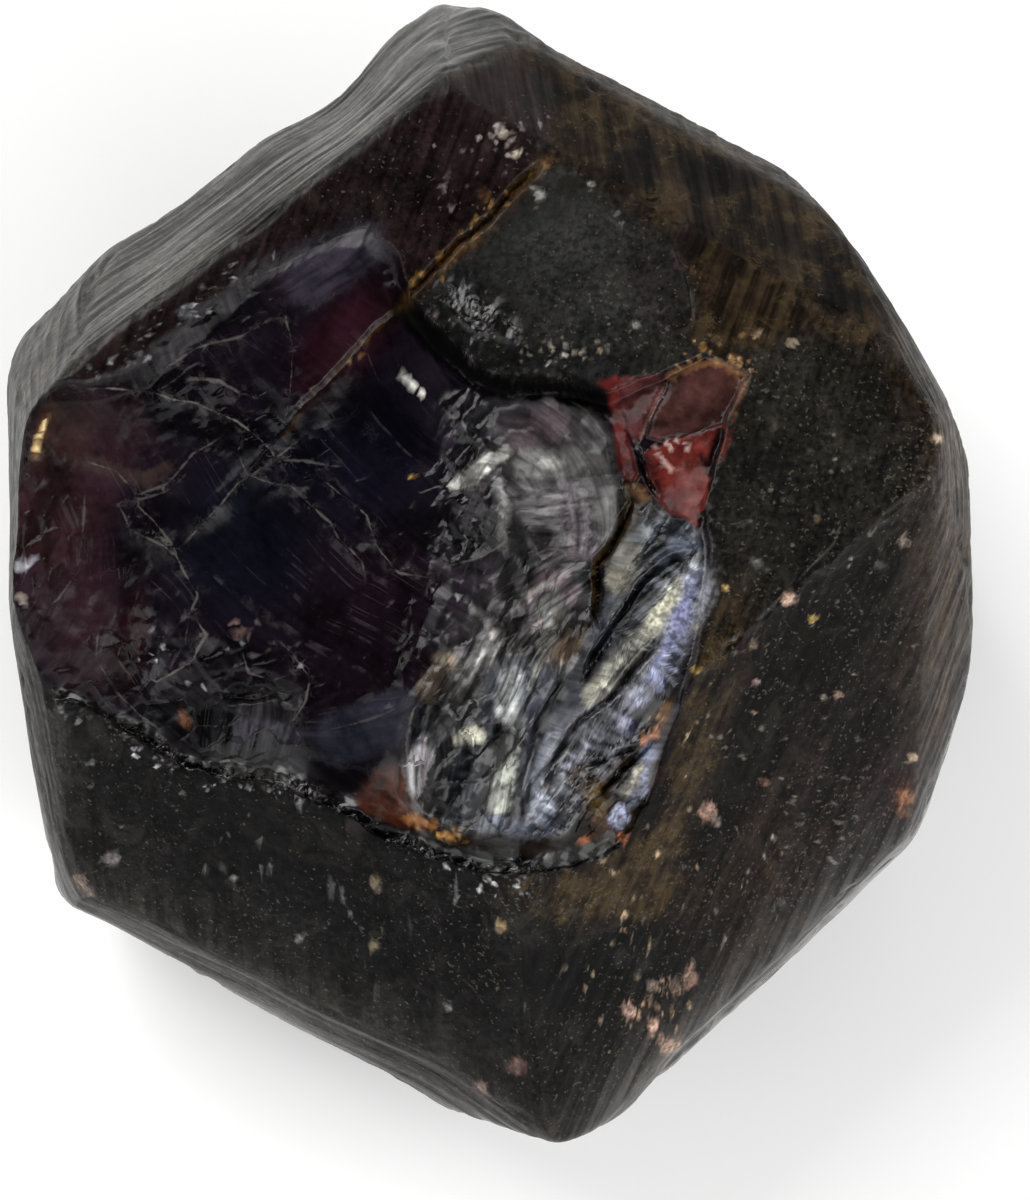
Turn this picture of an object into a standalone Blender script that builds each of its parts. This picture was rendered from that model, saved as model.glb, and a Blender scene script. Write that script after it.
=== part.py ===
"""Garnet crystal: one natural crystal, a flattened dodecahedron with bevelled
rims, resting on its back face, with a conchoidal break over its top face.

Metres, +Z up.  The origin is the centre of the bounding box's footprint, on
the surface that the crystal rests on.
"""
import math
import bpy
import bmesh
import numpy as np
from mathutils import Vector
from mathutils.geometry import delaunay_2d_cdt

# ---------------------------------------------------------------- dimensions
UNIT = 0.03e-3            # one drawing unit is 0.03 mm
HALF_THICK = 290.0        # growth centre to the top face, and to the back face
ROUND = 9.0               # worn rounding of the edges between faces
SHIFT_X = -0.7            # growth centre to the footprint's centre
SHIFT_Y = 4.5
LEAN = math.radians(14.0)  # the drawing sheet's tilt from the top face
SHEET_X = 490.0           # the growth centre on the drawing sheet
SHEET_Y = 575.0

# Crystal faces: name, compass direction of the normal (degrees from +X),
# angle of the normal from the top face's, distance from the growth centre.
FACES = [
    ("top", 0.0, 0.0, HALF_THICK),
    ("back", 0.0, 180.0, HALF_THICK),
    # the four sloping dodecahedral faces around the top
    ("upper_left", 129.0, 61.0, 461.0),
    ("upper_right", 60.0, 65.0, 493.0),
    ("lower_right", -49.3, 58.0, 377.0),
    ("lower_left", 239.3, 59.5, 377.0),
    # the trapezohedral bevels between them
    ("head", 97.0, 55.5, 526.0),
    ("brow", 59.0, 32.0, 427.0),
    ("right_upper", 29.0, 69.0, 504.0),
    ("right", -1.0, 80.0, 484.0),
    ("right_lower", -20.0, 77.0, 459.0),
    ("foot_right", -46.8, 85.0, 468.0),
    ("foot_left", 241.3, 86.0, 463.0),
    ("left_lower", 206.0, 79.0, 479.0),
    ("left_upper", 149.0, 74.0, 488.0),
    # the upright girdle
    ("girdle_a", 127.5, 89.0, 478.0),
    ("girdle_b", 176.0, 86.0, 474.0),
    ("girdle_c", 189.5, 91.0, 480.0),
    ("girdle_d", 63.0, 90.0, 474.0),
    ("girdle_e", 33.0, 90.0, 458.0),
    ("girdle_f", 3.0, 92.0, 480.0),
    ("girdle_g", -18.0, 92.0, 487.0),
    ("girdle_h", -46.0, 97.0, 484.0),
    # the sloping faces around the back
    ("under_a", 129.0, 119.0, 480.0),
    ("under_b", 60.0, 118.0, 480.0),
    ("under_c", -49.3, 121.0, 478.0),
    ("under_d", 239.3, 119.0, 488.0),
    ("under_e", 2.0, 108.0, 480.0),
    ("under_f", 183.0, 110.0, 475.0),
    ("under_g", 95.0, 118.0, 540.0),
    ("under_h", 275.0, 118.0, 530.0),
]

# Rim of the break: sheet position, the face it runs on, drop just inside.
RIM = [
    (60, 700, "lower_left", 5), (110, 716, "lower_left", 5),
    (150, 744, "lower_left", 6), (190, 770, "lower_left", 6),
    (240, 775, "lower_left", 7), (290, 783, "lower_left", 7),
    (330, 803, "lower_left", 7), (380, 832, "lower_left", 7),
    (430, 850, "lower_left", 7), (480, 866, "lower_left", 8),
    (522, 868, "lower_right", 8), (570, 862, "lower_right", 10),
    (618, 843, "lower_right", 10), (648, 800, "lower_right", 10),
    (666, 738, "lower_right", 9), (688, 670, "top", 9),
    (702, 600, "top", 8), (706, 545, "top", 10),
    (702, 505, "top", 16), (714, 462, "top", 18),
    (726, 420, "top", 15), (746, 376, "top", 8),
    (702, 354, "top", 8), (664, 372, "top", 16),
    (606, 398, "top", 34), (560, 384, "top", 38),
    (515, 382, "top", 38), (478, 370, "top", 40),
    (450, 338, "top", 38), (412, 300, "top", 32),
    (402, 262, "top", 22), (382, 216, "top", 10),
    (330, 222, "top", 9), (252, 254, "top", 12),
    (200, 305, "top", 15), (140, 358, "top", 18),
    (92, 384, "top", 24),
]
# the break runs out over the left rim of the crystal
OPEN_SIDE = [(-40, 395, 60), (-60, 520, 100), (-40, 660, 145)]

# Depth of the broken floor below the top face, by sheet position.
FLOOR = [
    (20, 440, 62), (20, 520, 90), (20, 600, 112), (100, 440, 52),
    (100, 500, 76), (100, 580, 98), (100, 650, 128), (180, 400, 38),
    (200, 455, 62), (200, 530, 86), (200, 600, 106), (230, 660, 118),
    (240, 710, 138), (270, 290, 22), (330, 330, 34), (300, 400, 50),
    (345, 430, 64), (400, 370, 48), (400, 480, 68), (330, 560, 88),
    (400, 620, 86), (340, 690, 108), (370, 750, 116), (470, 450, 52),
    (520, 430, 40), (570, 480, 36), (480, 580, 68), (560, 590, 50),
    (500, 690, 80), (450, 770, 96), (550, 760, 74), (600, 690, 52),
    (600, 610, 46), (640, 570, 30), (665, 620, 16), (640, 710, 34),
    (590, 815, 66), (640, 430, 24), (680, 490, 24),
]

# Sharp crests between the shells of the break: height, width, sheet points.
CRESTS = [
    (9, 26, [(120, 385), (180, 396), (230, 412), (262, 440), (280, 462)]),
    (8, 22, [(270, 290), (291, 320), (293, 370), (286, 420)]),
    (8, 24, [(128, 500), (165, 540), (190, 585), (196, 640)]),
    (7, 22, [(180, 545), (240, 488), (280, 462), (330, 500), (376, 560)]),
    (9, 24, [(480, 385), (468, 420), (490, 455), (470, 500), (440, 560)]),
    (8, 20, [(420, 690), (402, 740), (412, 800), (440, 838)]),
    (9, 18, [(612, 420), (622, 500), (598, 560), (588, 622)]),
    (7, 20, [(205, 720), (300, 712), (360, 770)]),
]


def face_normal(azimuth, tilt):
    a, t = math.radians(azimuth), math.radians(tilt)
    return Vector((math.cos(a) * math.sin(t), math.sin(a) * math.sin(t),
                   math.cos(t)))


PLANES = {name: (face_normal(az, tilt), d) for name, az, tilt, d in FACES}
SIGHT = Vector((0.0, -math.sin(LEAN), math.cos(LEAN)))


def from_sheet(u, v, normal, distance):
    """Carry a point of the drawing sheet along the sight line onto a plane."""
    x = u - SHEET_X
    up = SHEET_Y - v
    start = Vector((x, up * math.cos(LEAN), up * math.sin(LEAN)))
    t = (distance - normal.dot(start)) / normal.dot(SIGHT)
    return start + t * SIGHT


def on_level(u, v, depth):
    return from_sheet(u, v, Vector((0, 0, 1)), HALF_THICK - depth)


def clear_scene():
    for ob in list(bpy.data.objects):
        bpy.data.objects.remove(ob, do_unlink=True)


def crystal_form():
    """The unbroken crystal: a block cut down to its faces one at a time."""
    bm = bmesh.new()
    bmesh.ops.create_cube(bm, size=4000.0)
    for _, azimuth, tilt, distance in FACES:
        normal = face_normal(azimuth, tilt)
        geom = bm.verts[:] + bm.edges[:] + bm.faces[:]
        cut = bmesh.ops.bisect_plane(bm, geom=geom, dist=1e-4,
                                     plane_co=normal * distance,
                                     plane_no=normal, clear_outer=True)
        edges = [e for e in cut["geom_cut"]
                 if isinstance(e, bmesh.types.BMEdge)]
        if edges:
            bmesh.ops.contextual_create(bm, geom=edges)
    bmesh.ops.remove_doubles(bm, verts=bm.verts[:], dist=0.05)
    bmesh.ops.recalc_face_normals(bm, faces=bm.faces[:])
    return bm


def floor_surface():
    """Thin-plate surface through the floor depths and the rim."""
    pts = []
    for u, v, face, drop in RIM:
        normal, distance = PLANES[face]
        p = from_sheet(u, v, normal, distance)
        pts.append((p.x, p.y, p.z - drop))
    for u, v, depth in OPEN_SIDE + FLOOR:
        p = on_level(u, v, depth)
        pts.append((p.x, p.y, p.z))
    pts = np.array(pts)
    xy = pts[:, :2] / 100.0
    n = len(xy)
    r2 = ((xy[:, None, :] - xy[None, :, :]) ** 2).sum(-1)
    kernel = 0.5 * r2 * np.log(r2 + 1e-12)
    kernel += np.eye(n) * 0.02
    poly = np.hstack([np.ones((n, 1)), xy])
    system = np.zeros((n + 3, n + 3))
    system[:n, :n] = kernel
    system[:n, n:] = poly
    system[n:, :n] = poly.T
    weights = np.linalg.solve(system, np.concatenate([pts[:, 2], np.zeros(3)]))

    def height(points):
        q = np.asarray(points, float) / 100.0
        d2 = ((q[:, None, :] - xy[None, :, :]) ** 2).sum(-1)
        return (0.5 * d2 * np.log(d2 + 1e-12)) @ weights[:n] \
            + weights[n] + q @ weights[n + 1:]

    return height


def line_distance(points, line):
    best = np.full(len(points), 1e9)
    for a, b in zip(line[:-1], line[1:]):
        ab = b - a
        t = np.clip(((points - a) @ ab) / (ab @ ab), 0.0, 1.0)
        best = np.minimum(best, np.linalg.norm(points - (a + t[:, None] * ab),
                                               axis=1))
    return best


def break_cutter():
    """The piece that was knocked off: a slab with the break as its underside."""
    rim = [from_sheet(u, v, *PLANES[face]) for u, v, face, _ in RIM]
    side = [on_level(u, v, depth) for u, v, depth in OPEN_SIDE]
    outline = [Vector((p.x, p.y)) for p in rim + side]
    height = floor_surface()

    xs = [p.x for p in outline]
    ys = [p.y for p in outline]
    poly = np.array([(p.x, p.y) for p in outline])
    step = 17.0
    inner = []
    row = 0
    y = min(ys)
    while y < max(ys):
        x = min(xs) + (step / 2 if row % 2 else 0.0)
        while x < max(xs):
            inner.append((x, y))
            x += step
        y += step * 0.866
        row += 1
    inner = np.array(inner)
    inside = np.zeros(len(inner), bool)
    for (x0, y0), (x1, y1) in zip(poly, np.roll(poly, -1, axis=0)):
        crosses = (y0 > inner[:, 1]) != (y1 > inner[:, 1])
        with np.errstate(divide="ignore", invalid="ignore"):
            at = (x1 - x0) * (inner[:, 1] - y0) / (y1 - y0) + x0
        inside ^= crosses & (inner[:, 0] < at)
    loop = np.vstack([poly, poly[:1]])
    inside &= line_distance(inner, loop) > step * 0.55
    inner = inner[inside]

    verts = [Vector(p) for p in outline] + [Vector((x, y)) for x, y in inner]
    count = len(outline)
    edges = [(i, (i + 1) % count) for i in range(count)]
    co, _, tris, *_ = delaunay_2d_cdt(verts, edges, [list(range(count))],
                                      1, 1e-4)
    plan = np.array([(c.x, c.y) for c in co])
    z = height(plan)
    for crest, width, line in CRESTS:
        path = []
        for u, v in line:
            p = on_level(u, v, 70.0)
            path.append((p.x, p.y))
        d = line_distance(plan, np.array(path))
        fade = np.clip(line_distance(plan, loop) / 25.0, 0.0, 1.0)
        z += crest * np.exp(-d / width) * fade

    bm = bmesh.new()
    low = [bm.verts.new((px, py, pz)) for (px, py), pz in zip(plan, z)]
    high = [bm.verts.new((px, py, HALF_THICK + 60.0)) for px, py in plan]
    border = {}
    for tri in tris:
        bm.faces.new([low[i] for i in reversed(tri)])
        bm.faces.new([high[i] for i in tri])
        for a, b in zip(tri, list(tri[1:]) + [tri[0]]):
            if (b, a) in border:
                del border[(b, a)]
            else:
                border[(a, b)] = True
    for a, b in border:
        bm.faces.new([low[a], low[b], high[b], high[a]])
    bmesh.ops.recalc_face_normals(bm, faces=bm.faces[:])
    return bm


def to_object(bm, name):
    """Drawing units to metres, with the back face on z = 0."""
    for v in bm.verts:
        v.co = Vector(((v.co.x + SHIFT_X) * UNIT, (v.co.y + SHIFT_Y) * UNIT,
                       (v.co.z + HALF_THICK) * UNIT))
    mesh = bpy.data.meshes.new(name)
    bm.to_mesh(mesh)
    bm.free()
    ob = bpy.data.objects.new(name, mesh)
    bpy.context.collection.objects.link(ob)
    return ob


def garnet_material():
    mat = bpy.data.materials.new("almandine_garnet")
    mat.use_nodes = True
    bsdf = mat.node_tree.nodes["Principled BSDF"]
    bsdf.inputs["Base Color"].default_value = (0.022, 0.012, 0.013, 1.0)
    bsdf.inputs["Roughness"].default_value = 0.28
    bsdf.inputs["Metallic"].default_value = 0.0
    bsdf.inputs["IOR"].default_value = 1.79
    mat.diffuse_color = (0.05, 0.02, 0.025, 1.0)
    return mat


def main():
    clear_scene()
    crystal = to_object(crystal_form(), "garnet_crystal")
    crystal.data.materials.append(garnet_material())

    worn = crystal.modifiers.new("worn_edges", "BEVEL")
    worn.width = ROUND * UNIT
    worn.segments = 2
    worn.limit_method = "ANGLE"
    worn.angle_limit = math.radians(8.0)

    spall = to_object(break_cutter(), "spall_cutter")
    spall.hide_render = True
    spall.display_type = "WIRE"
    cut = crystal.modifiers.new("spall", "BOOLEAN")
    cut.operation = "DIFFERENCE"
    cut.solver = "EXACT"
    cut.object = spall


main()
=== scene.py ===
import math
import bpy
import numpy as np
from mathutils import Matrix, Vector


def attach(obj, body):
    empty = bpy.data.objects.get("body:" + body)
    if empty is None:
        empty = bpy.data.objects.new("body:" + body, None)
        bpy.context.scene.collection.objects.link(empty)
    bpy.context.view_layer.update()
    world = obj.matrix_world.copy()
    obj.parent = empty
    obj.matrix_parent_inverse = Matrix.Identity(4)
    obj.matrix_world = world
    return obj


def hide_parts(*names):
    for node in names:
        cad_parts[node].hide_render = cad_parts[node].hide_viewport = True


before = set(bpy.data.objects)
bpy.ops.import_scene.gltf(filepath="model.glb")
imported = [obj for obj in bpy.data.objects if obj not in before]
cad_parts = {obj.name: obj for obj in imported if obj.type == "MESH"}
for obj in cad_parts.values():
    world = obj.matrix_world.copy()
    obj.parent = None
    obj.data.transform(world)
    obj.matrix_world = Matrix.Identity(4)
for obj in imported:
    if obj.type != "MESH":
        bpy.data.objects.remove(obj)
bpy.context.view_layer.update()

# ---------------------------------------------------------------- dimensions
# Everything is worked in drawing units of 0.03 mm from the growth centre, on
# the same faces as the CAD solid, and turned to metres at the end.
UNIT = 0.03e-3
HALF_THICK = 290.0
SHIFT = np.array([-0.7, 4.5, HALF_THICK])
LEAN = math.radians(14.0)
CL, SL = math.cos(LEAN), math.sin(LEAN)
SHEET_X, SHEET_Y = 490.0, 575.0
LENS_DISTANCE = 14000.0

FACES = [
    ("top", 0.0, 0.0, HALF_THICK),
    ("back", 0.0, 180.0, HALF_THICK),
    ("upper_left", 129.0, 61.0, 461.0),
    ("upper_right", 60.0, 65.0, 493.0),
    ("lower_right", -49.3, 58.0, 377.0),
    ("lower_left", 239.3, 59.5, 377.0),
    ("head", 97.0, 55.5, 526.0),
    ("brow", 59.0, 32.0, 427.0),
    ("right_upper", 29.0, 69.0, 504.0),
    ("right", -1.0, 80.0, 484.0),
    ("right_lower", -20.0, 77.0, 459.0),
    ("foot_right", -46.8, 85.0, 468.0),
    ("foot_left", 241.3, 86.0, 463.0),
    ("left_lower", 206.0, 79.0, 479.0),
    ("left_upper", 149.0, 74.0, 488.0),
    ("girdle_a", 127.5, 89.0, 478.0),
    ("girdle_b", 176.0, 86.0, 474.0),
    ("girdle_c", 189.5, 91.0, 480.0),
    ("girdle_d", 63.0, 90.0, 474.0),
    ("girdle_e", 33.0, 90.0, 458.0),
    ("girdle_f", 3.0, 92.0, 480.0),
    ("girdle_g", -18.0, 92.0, 487.0),
    ("girdle_h", -46.0, 97.0, 484.0),
    ("under_a", 129.0, 119.0, 480.0),
    ("under_b", 60.0, 118.0, 480.0),
    ("under_c", -49.3, 121.0, 478.0),
    ("under_d", 239.3, 119.0, 488.0),
    ("under_e", 2.0, 108.0, 480.0),
    ("under_f", 183.0, 110.0, 475.0),
    ("under_g", 95.0, 118.0, 540.0),
    ("under_h", 275.0, 118.0, 530.0),
]
NAMES = [f[0] for f in FACES]


def face_normal(azimuth, tilt):
    a, t = math.radians(azimuth), math.radians(tilt)
    return np.array([math.cos(a) * math.sin(t), math.sin(a) * math.sin(t),
                     math.cos(t)])


NORMALS = np.array([face_normal(az, tilt) for _, az, tilt, _ in FACES])
DISTS = np.array([d for *_, d in FACES])

RIM = [
    (60, 700, "lower_left", 5), (110, 716, "lower_left", 5),
    (150, 744, "lower_left", 6), (190, 770, "lower_left", 6),
    (240, 775, "lower_left", 7), (290, 783, "lower_left", 7),
    (330, 803, "lower_left", 7), (380, 832, "lower_left", 7),
    (430, 850, "lower_left", 7), (480, 866, "lower_left", 8),
    (522, 868, "lower_right", 8), (570, 862, "lower_right", 10),
    (618, 843, "lower_right", 10), (648, 800, "lower_right", 10),
    (666, 738, "lower_right", 9), (688, 670, "top", 9),
    (702, 600, "top", 8), (706, 545, "top", 10),
    (702, 505, "top", 16), (714, 462, "top", 18),
    (726, 420, "top", 15), (746, 376, "top", 8),
    (702, 354, "top", 8), (664, 372, "top", 16),
    (606, 398, "top", 34), (560, 384, "top", 38),
    (515, 382, "top", 38), (478, 370, "top", 40),
    (450, 338, "top", 38), (412, 300, "top", 32),
    (402, 262, "top", 22), (382, 216, "top", 10),
    (330, 222, "top", 9), (252, 254, "top", 12),
    (200, 305, "top", 15), (140, 358, "top", 18),
    (92, 384, "top", 24),
]
OPEN_SIDE = [(-40, 395, 60), (-60, 520, 100), (-40, 660, 145)]
FLOOR = [
    (20, 440, 62), (20, 520, 90), (20, 600, 112), (100, 440, 52),
    (100, 500, 76), (100, 580, 98), (100, 650, 128), (180, 400, 38),
    (200, 455, 62), (200, 530, 86), (200, 600, 106), (230, 660, 118),
    (240, 710, 138), (270, 290, 22), (330, 330, 34), (300, 400, 50),
    (345, 430, 64), (400, 370, 48), (400, 480, 68), (330, 560, 88),
    (400, 620, 86), (340, 690, 108), (370, 750, 116), (470, 450, 52),
    (520, 430, 40), (570, 480, 36), (480, 580, 68), (560, 590, 50),
    (500, 690, 80), (450, 770, 96), (550, 760, 74), (600, 690, 52),
    (600, 610, 46), (640, 570, 30), (665, 620, 16), (640, 710, 34),
    (590, 815, 66), (640, 430, 24), (680, 490, 24),
]


# ---------------------------------------------------------------- noise
def _hash(*keys):
    h = np.uint32(2166136261)
    for k in keys:
        k = np.asarray(k).astype(np.int64).astype(np.uint32)
        h = (h ^ k) * np.uint32(16777619)
        h = h ^ (h >> np.uint32(15))
        h = h * np.uint32(2246822519)
    h = h ^ (h >> np.uint32(13))
    return (h & np.uint32(0xFFFFFF)).astype(np.float32) / np.float32(0xFFFFFF)


def noise2(x, y, seed=0):
    x = np.asarray(x, np.float32); y = np.asarray(y, np.float32)
    ix = np.floor(x); iy = np.floor(y)
    fx = x - ix; fy = y - iy
    fx = fx * fx * (3 - 2 * fx); fy = fy * fy * (3 - 2 * fy)
    ix = ix.astype(np.int64) + 10000; iy = iy.astype(np.int64) + 10000
    a = _hash(ix, iy, seed); b = _hash(ix + 1, iy, seed)
    c = _hash(ix, iy + 1, seed); d = _hash(ix + 1, iy + 1, seed)
    top = a + (b - a) * fx
    bot = c + (d - c) * fx
    return (top + (bot - top) * fy) * 2 - 1


def noise3(p, scale, seed=0):
    q = np.asarray(p, np.float32) / np.float32(scale)
    i = np.floor(q); f = q - i
    f = f * f * (3 - 2 * f)
    i = i.astype(np.int64) + 10000
    out = 0.0
    for dz in (0, 1):
        wz = f[:, 2] if dz else 1 - f[:, 2]
        for dy in (0, 1):
            wy = f[:, 1] if dy else 1 - f[:, 1]
            for dx in (0, 1):
                wx = f[:, 0] if dx else 1 - f[:, 0]
                out = out + wx * wy * wz * _hash(i[:, 0] + dx, i[:, 1] + dy,
                                                 i[:, 2] + dz, seed)
    return out * 2 - 1


def fbm2(x, y, scale, seed=0, octaves=3, gain=0.5):
    total = 0.0; amp = 1.0; norm = 0.0
    for o in range(octaves):
        s = scale / 2 ** o
        total = total + amp * noise2(x / s + 17.3 * o, y / s - 9.1 * o,
                                     seed + o)
        norm += amp; amp *= gain
    return total / norm


def cells(x, y, seed=0):
    """Random flat cells: value, place inside the cell, distance to its edge."""
    x = np.asarray(x, np.float32); y = np.asarray(y, np.float32)
    ix = np.floor(x).astype(np.int64) + 10000
    iy = np.floor(y).astype(np.int64) + 10000
    best = np.full(x.shape, 9.0); second = best.copy()
    val = np.zeros(x.shape); ox = val.copy(); oy = val.copy()
    for dx in (-1, 0, 1):
        for dy in (-1, 0, 1):
            cx = ix + dx; cy = iy + dy
            ex = x - (cx - 10000 + 0.12 + 0.76 * _hash(cx, cy, seed))
            ey = y - (cy - 10000 + 0.12 + 0.76 * _hash(cx, cy, seed + 1))
            d = np.hypot(ex, ey)
            near = d < best
            second = np.where(near, best, np.minimum(second, d))
            best = np.where(near, d, best)
            val = np.where(near, _hash(cx, cy, seed + 2), val)
            ox = np.where(near, ex, ox); oy = np.where(near, ey, oy)
    return val, ox, oy, second - best


def smooth(a, b, x):
    t = np.clip((x - a) / (b - a), 0.0, 1.0)
    return t * t * (3 - 2 * t)


# ---------------------------------------------------------------- sheet
def sheet(p):
    """Where a point shows on the drawing sheet."""
    up = p[:, 1] * CL + p[:, 2] * SL
    near = -p[:, 1] * SL + p[:, 2] * CL
    s = LENS_DISTANCE / (LENS_DISTANCE - near)
    return SHEET_X + p[:, 0] * s, SHEET_Y - up * s


def from_sheet(u, v, normal, distance):
    sight = np.array([0.0, -SL, CL])
    x = u - SHEET_X; up = SHEET_Y - v
    start = np.array([x, up * CL, up * SL])
    t = (distance - normal @ start) / (normal @ sight)
    return start + t * sight


def on_level(u, v, depth):
    return from_sheet(u, v, np.array([0.0, 0.0, 1.0]), HALF_THICK - depth)


def line_distance(u, v, line, reach=None):
    """Distance to a polyline, and which side of it (+ on its left)."""
    line = np.asarray(line, float)
    n = len(u)
    best = np.full(n, 1e6, np.float32)
    side = np.zeros(n, np.float32)
    along = np.zeros(n, np.float32)
    if reach is not None:
        lo = line.min(0) - reach; hi = line.max(0) + reach
        pick = np.where((u > lo[0]) & (u < hi[0]) & (v > lo[1])
                        & (v < hi[1]))[0]
    else:
        pick = np.arange(n)
    if len(pick) == 0:
        return best, side, along
    pu = u[pick]; pv = v[pick]
    bb = np.full(len(pick), 1e6); ss = np.zeros(len(pick))
    aa = np.zeros(len(pick)); pp = np.zeros(len(pick))
    seg = np.linalg.norm(np.diff(line, axis=0), axis=1)
    run = np.concatenate([[0], np.cumsum(seg)])
    for k, (a, b) in enumerate(zip(line[:-1], line[1:])):
        ab = b - a
        L2 = ab @ ab
        t = np.clip(((pu - a[0]) * ab[0] + (pv - a[1]) * ab[1]) / L2, 0, 1)
        dx = pu - (a[0] + t * ab[0]); dy = pv - (a[1] + t * ab[1])
        d = np.hypot(dx, dy)
        near = d < bb - 1e-6
        cross = ab[0] * (pv - a[1]) - ab[1] * (pu - a[0])
        square = np.abs(cross) / math.sqrt(L2)
        # at a bend, the side is that of the segment seen more squarely
        turn = near | ((np.abs(d - bb) <= 1e-6) & (square > pp))
        ss = np.where(turn, -np.sign(cross), ss)
        pp = np.where(turn, square, pp)
        bb = np.where(near, d, bb)
        aa = np.where(near, run[k] + t * seg[k], aa)
    best[pick] = bb; side[pick] = ss; along[pick] = aa / run[-1]
    return best, side, along


def inside(u, v, poly):
    poly = np.asarray(poly, float)
    hit = np.zeros(len(u), bool)
    for (x0, y0), (x1, y1) in zip(poly, np.roll(poly, -1, axis=0)):
        crosses = (y0 > v) != (y1 > v)
        with np.errstate(divide="ignore", invalid="ignore"):
            at = (x1 - x0) * (v - y0) / (y1 - y0 + 1e-12) + x0
        hit ^= crosses & (u < at)
    return hit


def region(u, v, poly, soft=6.0, grow=0.0):
    """1 inside an outline, 0 outside, with a soft edge."""
    poly = list(poly)
    lo = np.min(poly, axis=0) - soft - abs(grow) - 2
    hi = np.max(poly, axis=0) + soft + abs(grow) + 2
    out = np.zeros(len(u), np.float32)
    pick = np.where((u > lo[0]) & (u < hi[0]) & (v > lo[1]) & (v < hi[1]))[0]
    if len(pick) == 0:
        return out
    pu, pv = u[pick], v[pick]
    d, _, _ = line_distance(pu, pv, poly + [poly[0]])
    sd = np.where(inside(pu, pv, poly), d, -d) + grow
    out[pick] = smooth(-soft, soft, sd)
    return out


# ---------------------------------------------------------------- base form
def disc_grid(n):
    """A square net folded over the crystal: fine on top, coarse beneath."""
    t = np.linspace(-1, 1, n + 1)
    X, Y = np.meshgrid(t, t)
    wide = np.abs(X) >= np.abs(Y)
    with np.errstate(divide="ignore", invalid="ignore"):
        th = np.where(wide, (math.pi / 4) * np.nan_to_num(Y / X),
                      math.pi / 2 - (math.pi / 4) * np.nan_to_num(X / Y))
    r = np.where(wide, X, Y)
    x = r * np.cos(th); y = r * np.sin(th)
    rho = np.hypot(x, y).ravel()
    ang = np.arctan2(y, x).ravel()
    r1, r2 = 0.66, 0.90
    radius = 520.0 * rho / r1
    phi_top = np.arctan2(radius, HALF_THICK)
    phi1 = math.atan2(520.0, HALF_THICK)
    phi2 = math.radians(101.0)
    phi3 = math.radians(160.0)
    phi = np.where(rho < r1, phi_top,
                   np.where(rho < r2,
                            phi1 + (phi2 - phi1) * (rho - r1) / (r2 - r1),
                            phi2 + (phi3 - phi2) * (rho - r2) / (1 - r2)))
    d = np.stack([np.sin(phi) * np.cos(ang), np.sin(phi) * np.sin(ang),
                  np.cos(phi)], 1)
    idx = np.arange((n + 1) * (n + 1)).reshape(n + 1, n + 1)
    quads = np.stack([idx[:-1, :-1], idx[:-1, 1:], idx[1:, 1:], idx[1:, :-1]],
                     -1).reshape(-1, 4)
    ring = np.concatenate([idx[0, :-1], idx[:-1, -1], idx[-1, :0:-1],
                           idx[:0:-1, 0]])
    return d, quads, ring


def worn_form(d, crisp=0.30):
    """Where each ray leaves the crystal, with its edges worn round."""
    nd = d @ NORMALS.T
    with np.errstate(divide="ignore"):
        r = np.min(np.where(nd > 1e-6, DISTS / np.maximum(nd, 1e-6), 1e9),
                   axis=1)
    for _ in range(5):
        e = np.exp(crisp * (nd * r[:, None] - DISTS))
        s = e.sum(1)
        slope = (e * nd).sum(1) * crisp / s
        r = r - np.log(s) / slope
    e = np.exp(crisp * (nd * r[:, None] - DISTS))
    w = e / e.sum(1, keepdims=True)
    return d * r[:, None], w.astype(np.float32)


def floor_surface():
    pts = []
    for u, v, face, drop in RIM:
        i = NAMES.index(face)
        p = from_sheet(u, v, NORMALS[i], DISTS[i])
        pts.append((p[0], p[1], p[2] - drop))
    for u, v, depth in OPEN_SIDE + FLOOR:
        pts.append(tuple(on_level(u, v, depth)))
    pts = np.array(pts)
    xy = pts[:, :2] / 100.0
    n = len(xy)
    r2 = ((xy[:, None] - xy[None]) ** 2).sum(-1)
    kernel = 0.5 * r2 * np.log(r2 + 1e-12) + np.eye(n) * 0.02
    poly = np.hstack([np.ones((n, 1)), xy])
    system = np.zeros((n + 3, n + 3))
    system[:n, :n] = kernel
    system[:n, n:] = poly
    system[n:, :n] = poly.T
    wts = np.linalg.solve(system, np.concatenate([pts[:, 2], np.zeros(3)]))

    def height(x, y):
        qx = x / 100.0; qy = y / 100.0
        z = wts[n] + qx * wts[n + 1] + qy * wts[n + 2]
        for k in range(n):
            d2 = (qx - xy[k, 0]) ** 2 + (qy - xy[k, 1]) ** 2 + 1e-12
            z = z + wts[k] * 0.5 * d2 * np.log(d2)
        return z

    return height


RIM_PLAN = []
for _u, _v, _face, _drop in RIM:
    _i = NAMES.index(_face)
    RIM_PLAN.append(from_sheet(_u, _v, NORMALS[_i], DISTS[_i])[:2])
for _u, _v, _depth in OPEN_SIDE:
    RIM_PLAN.append(on_level(_u, _v, _depth)[:2])
RIM_PLAN = np.array(RIM_PLAN)

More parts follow.
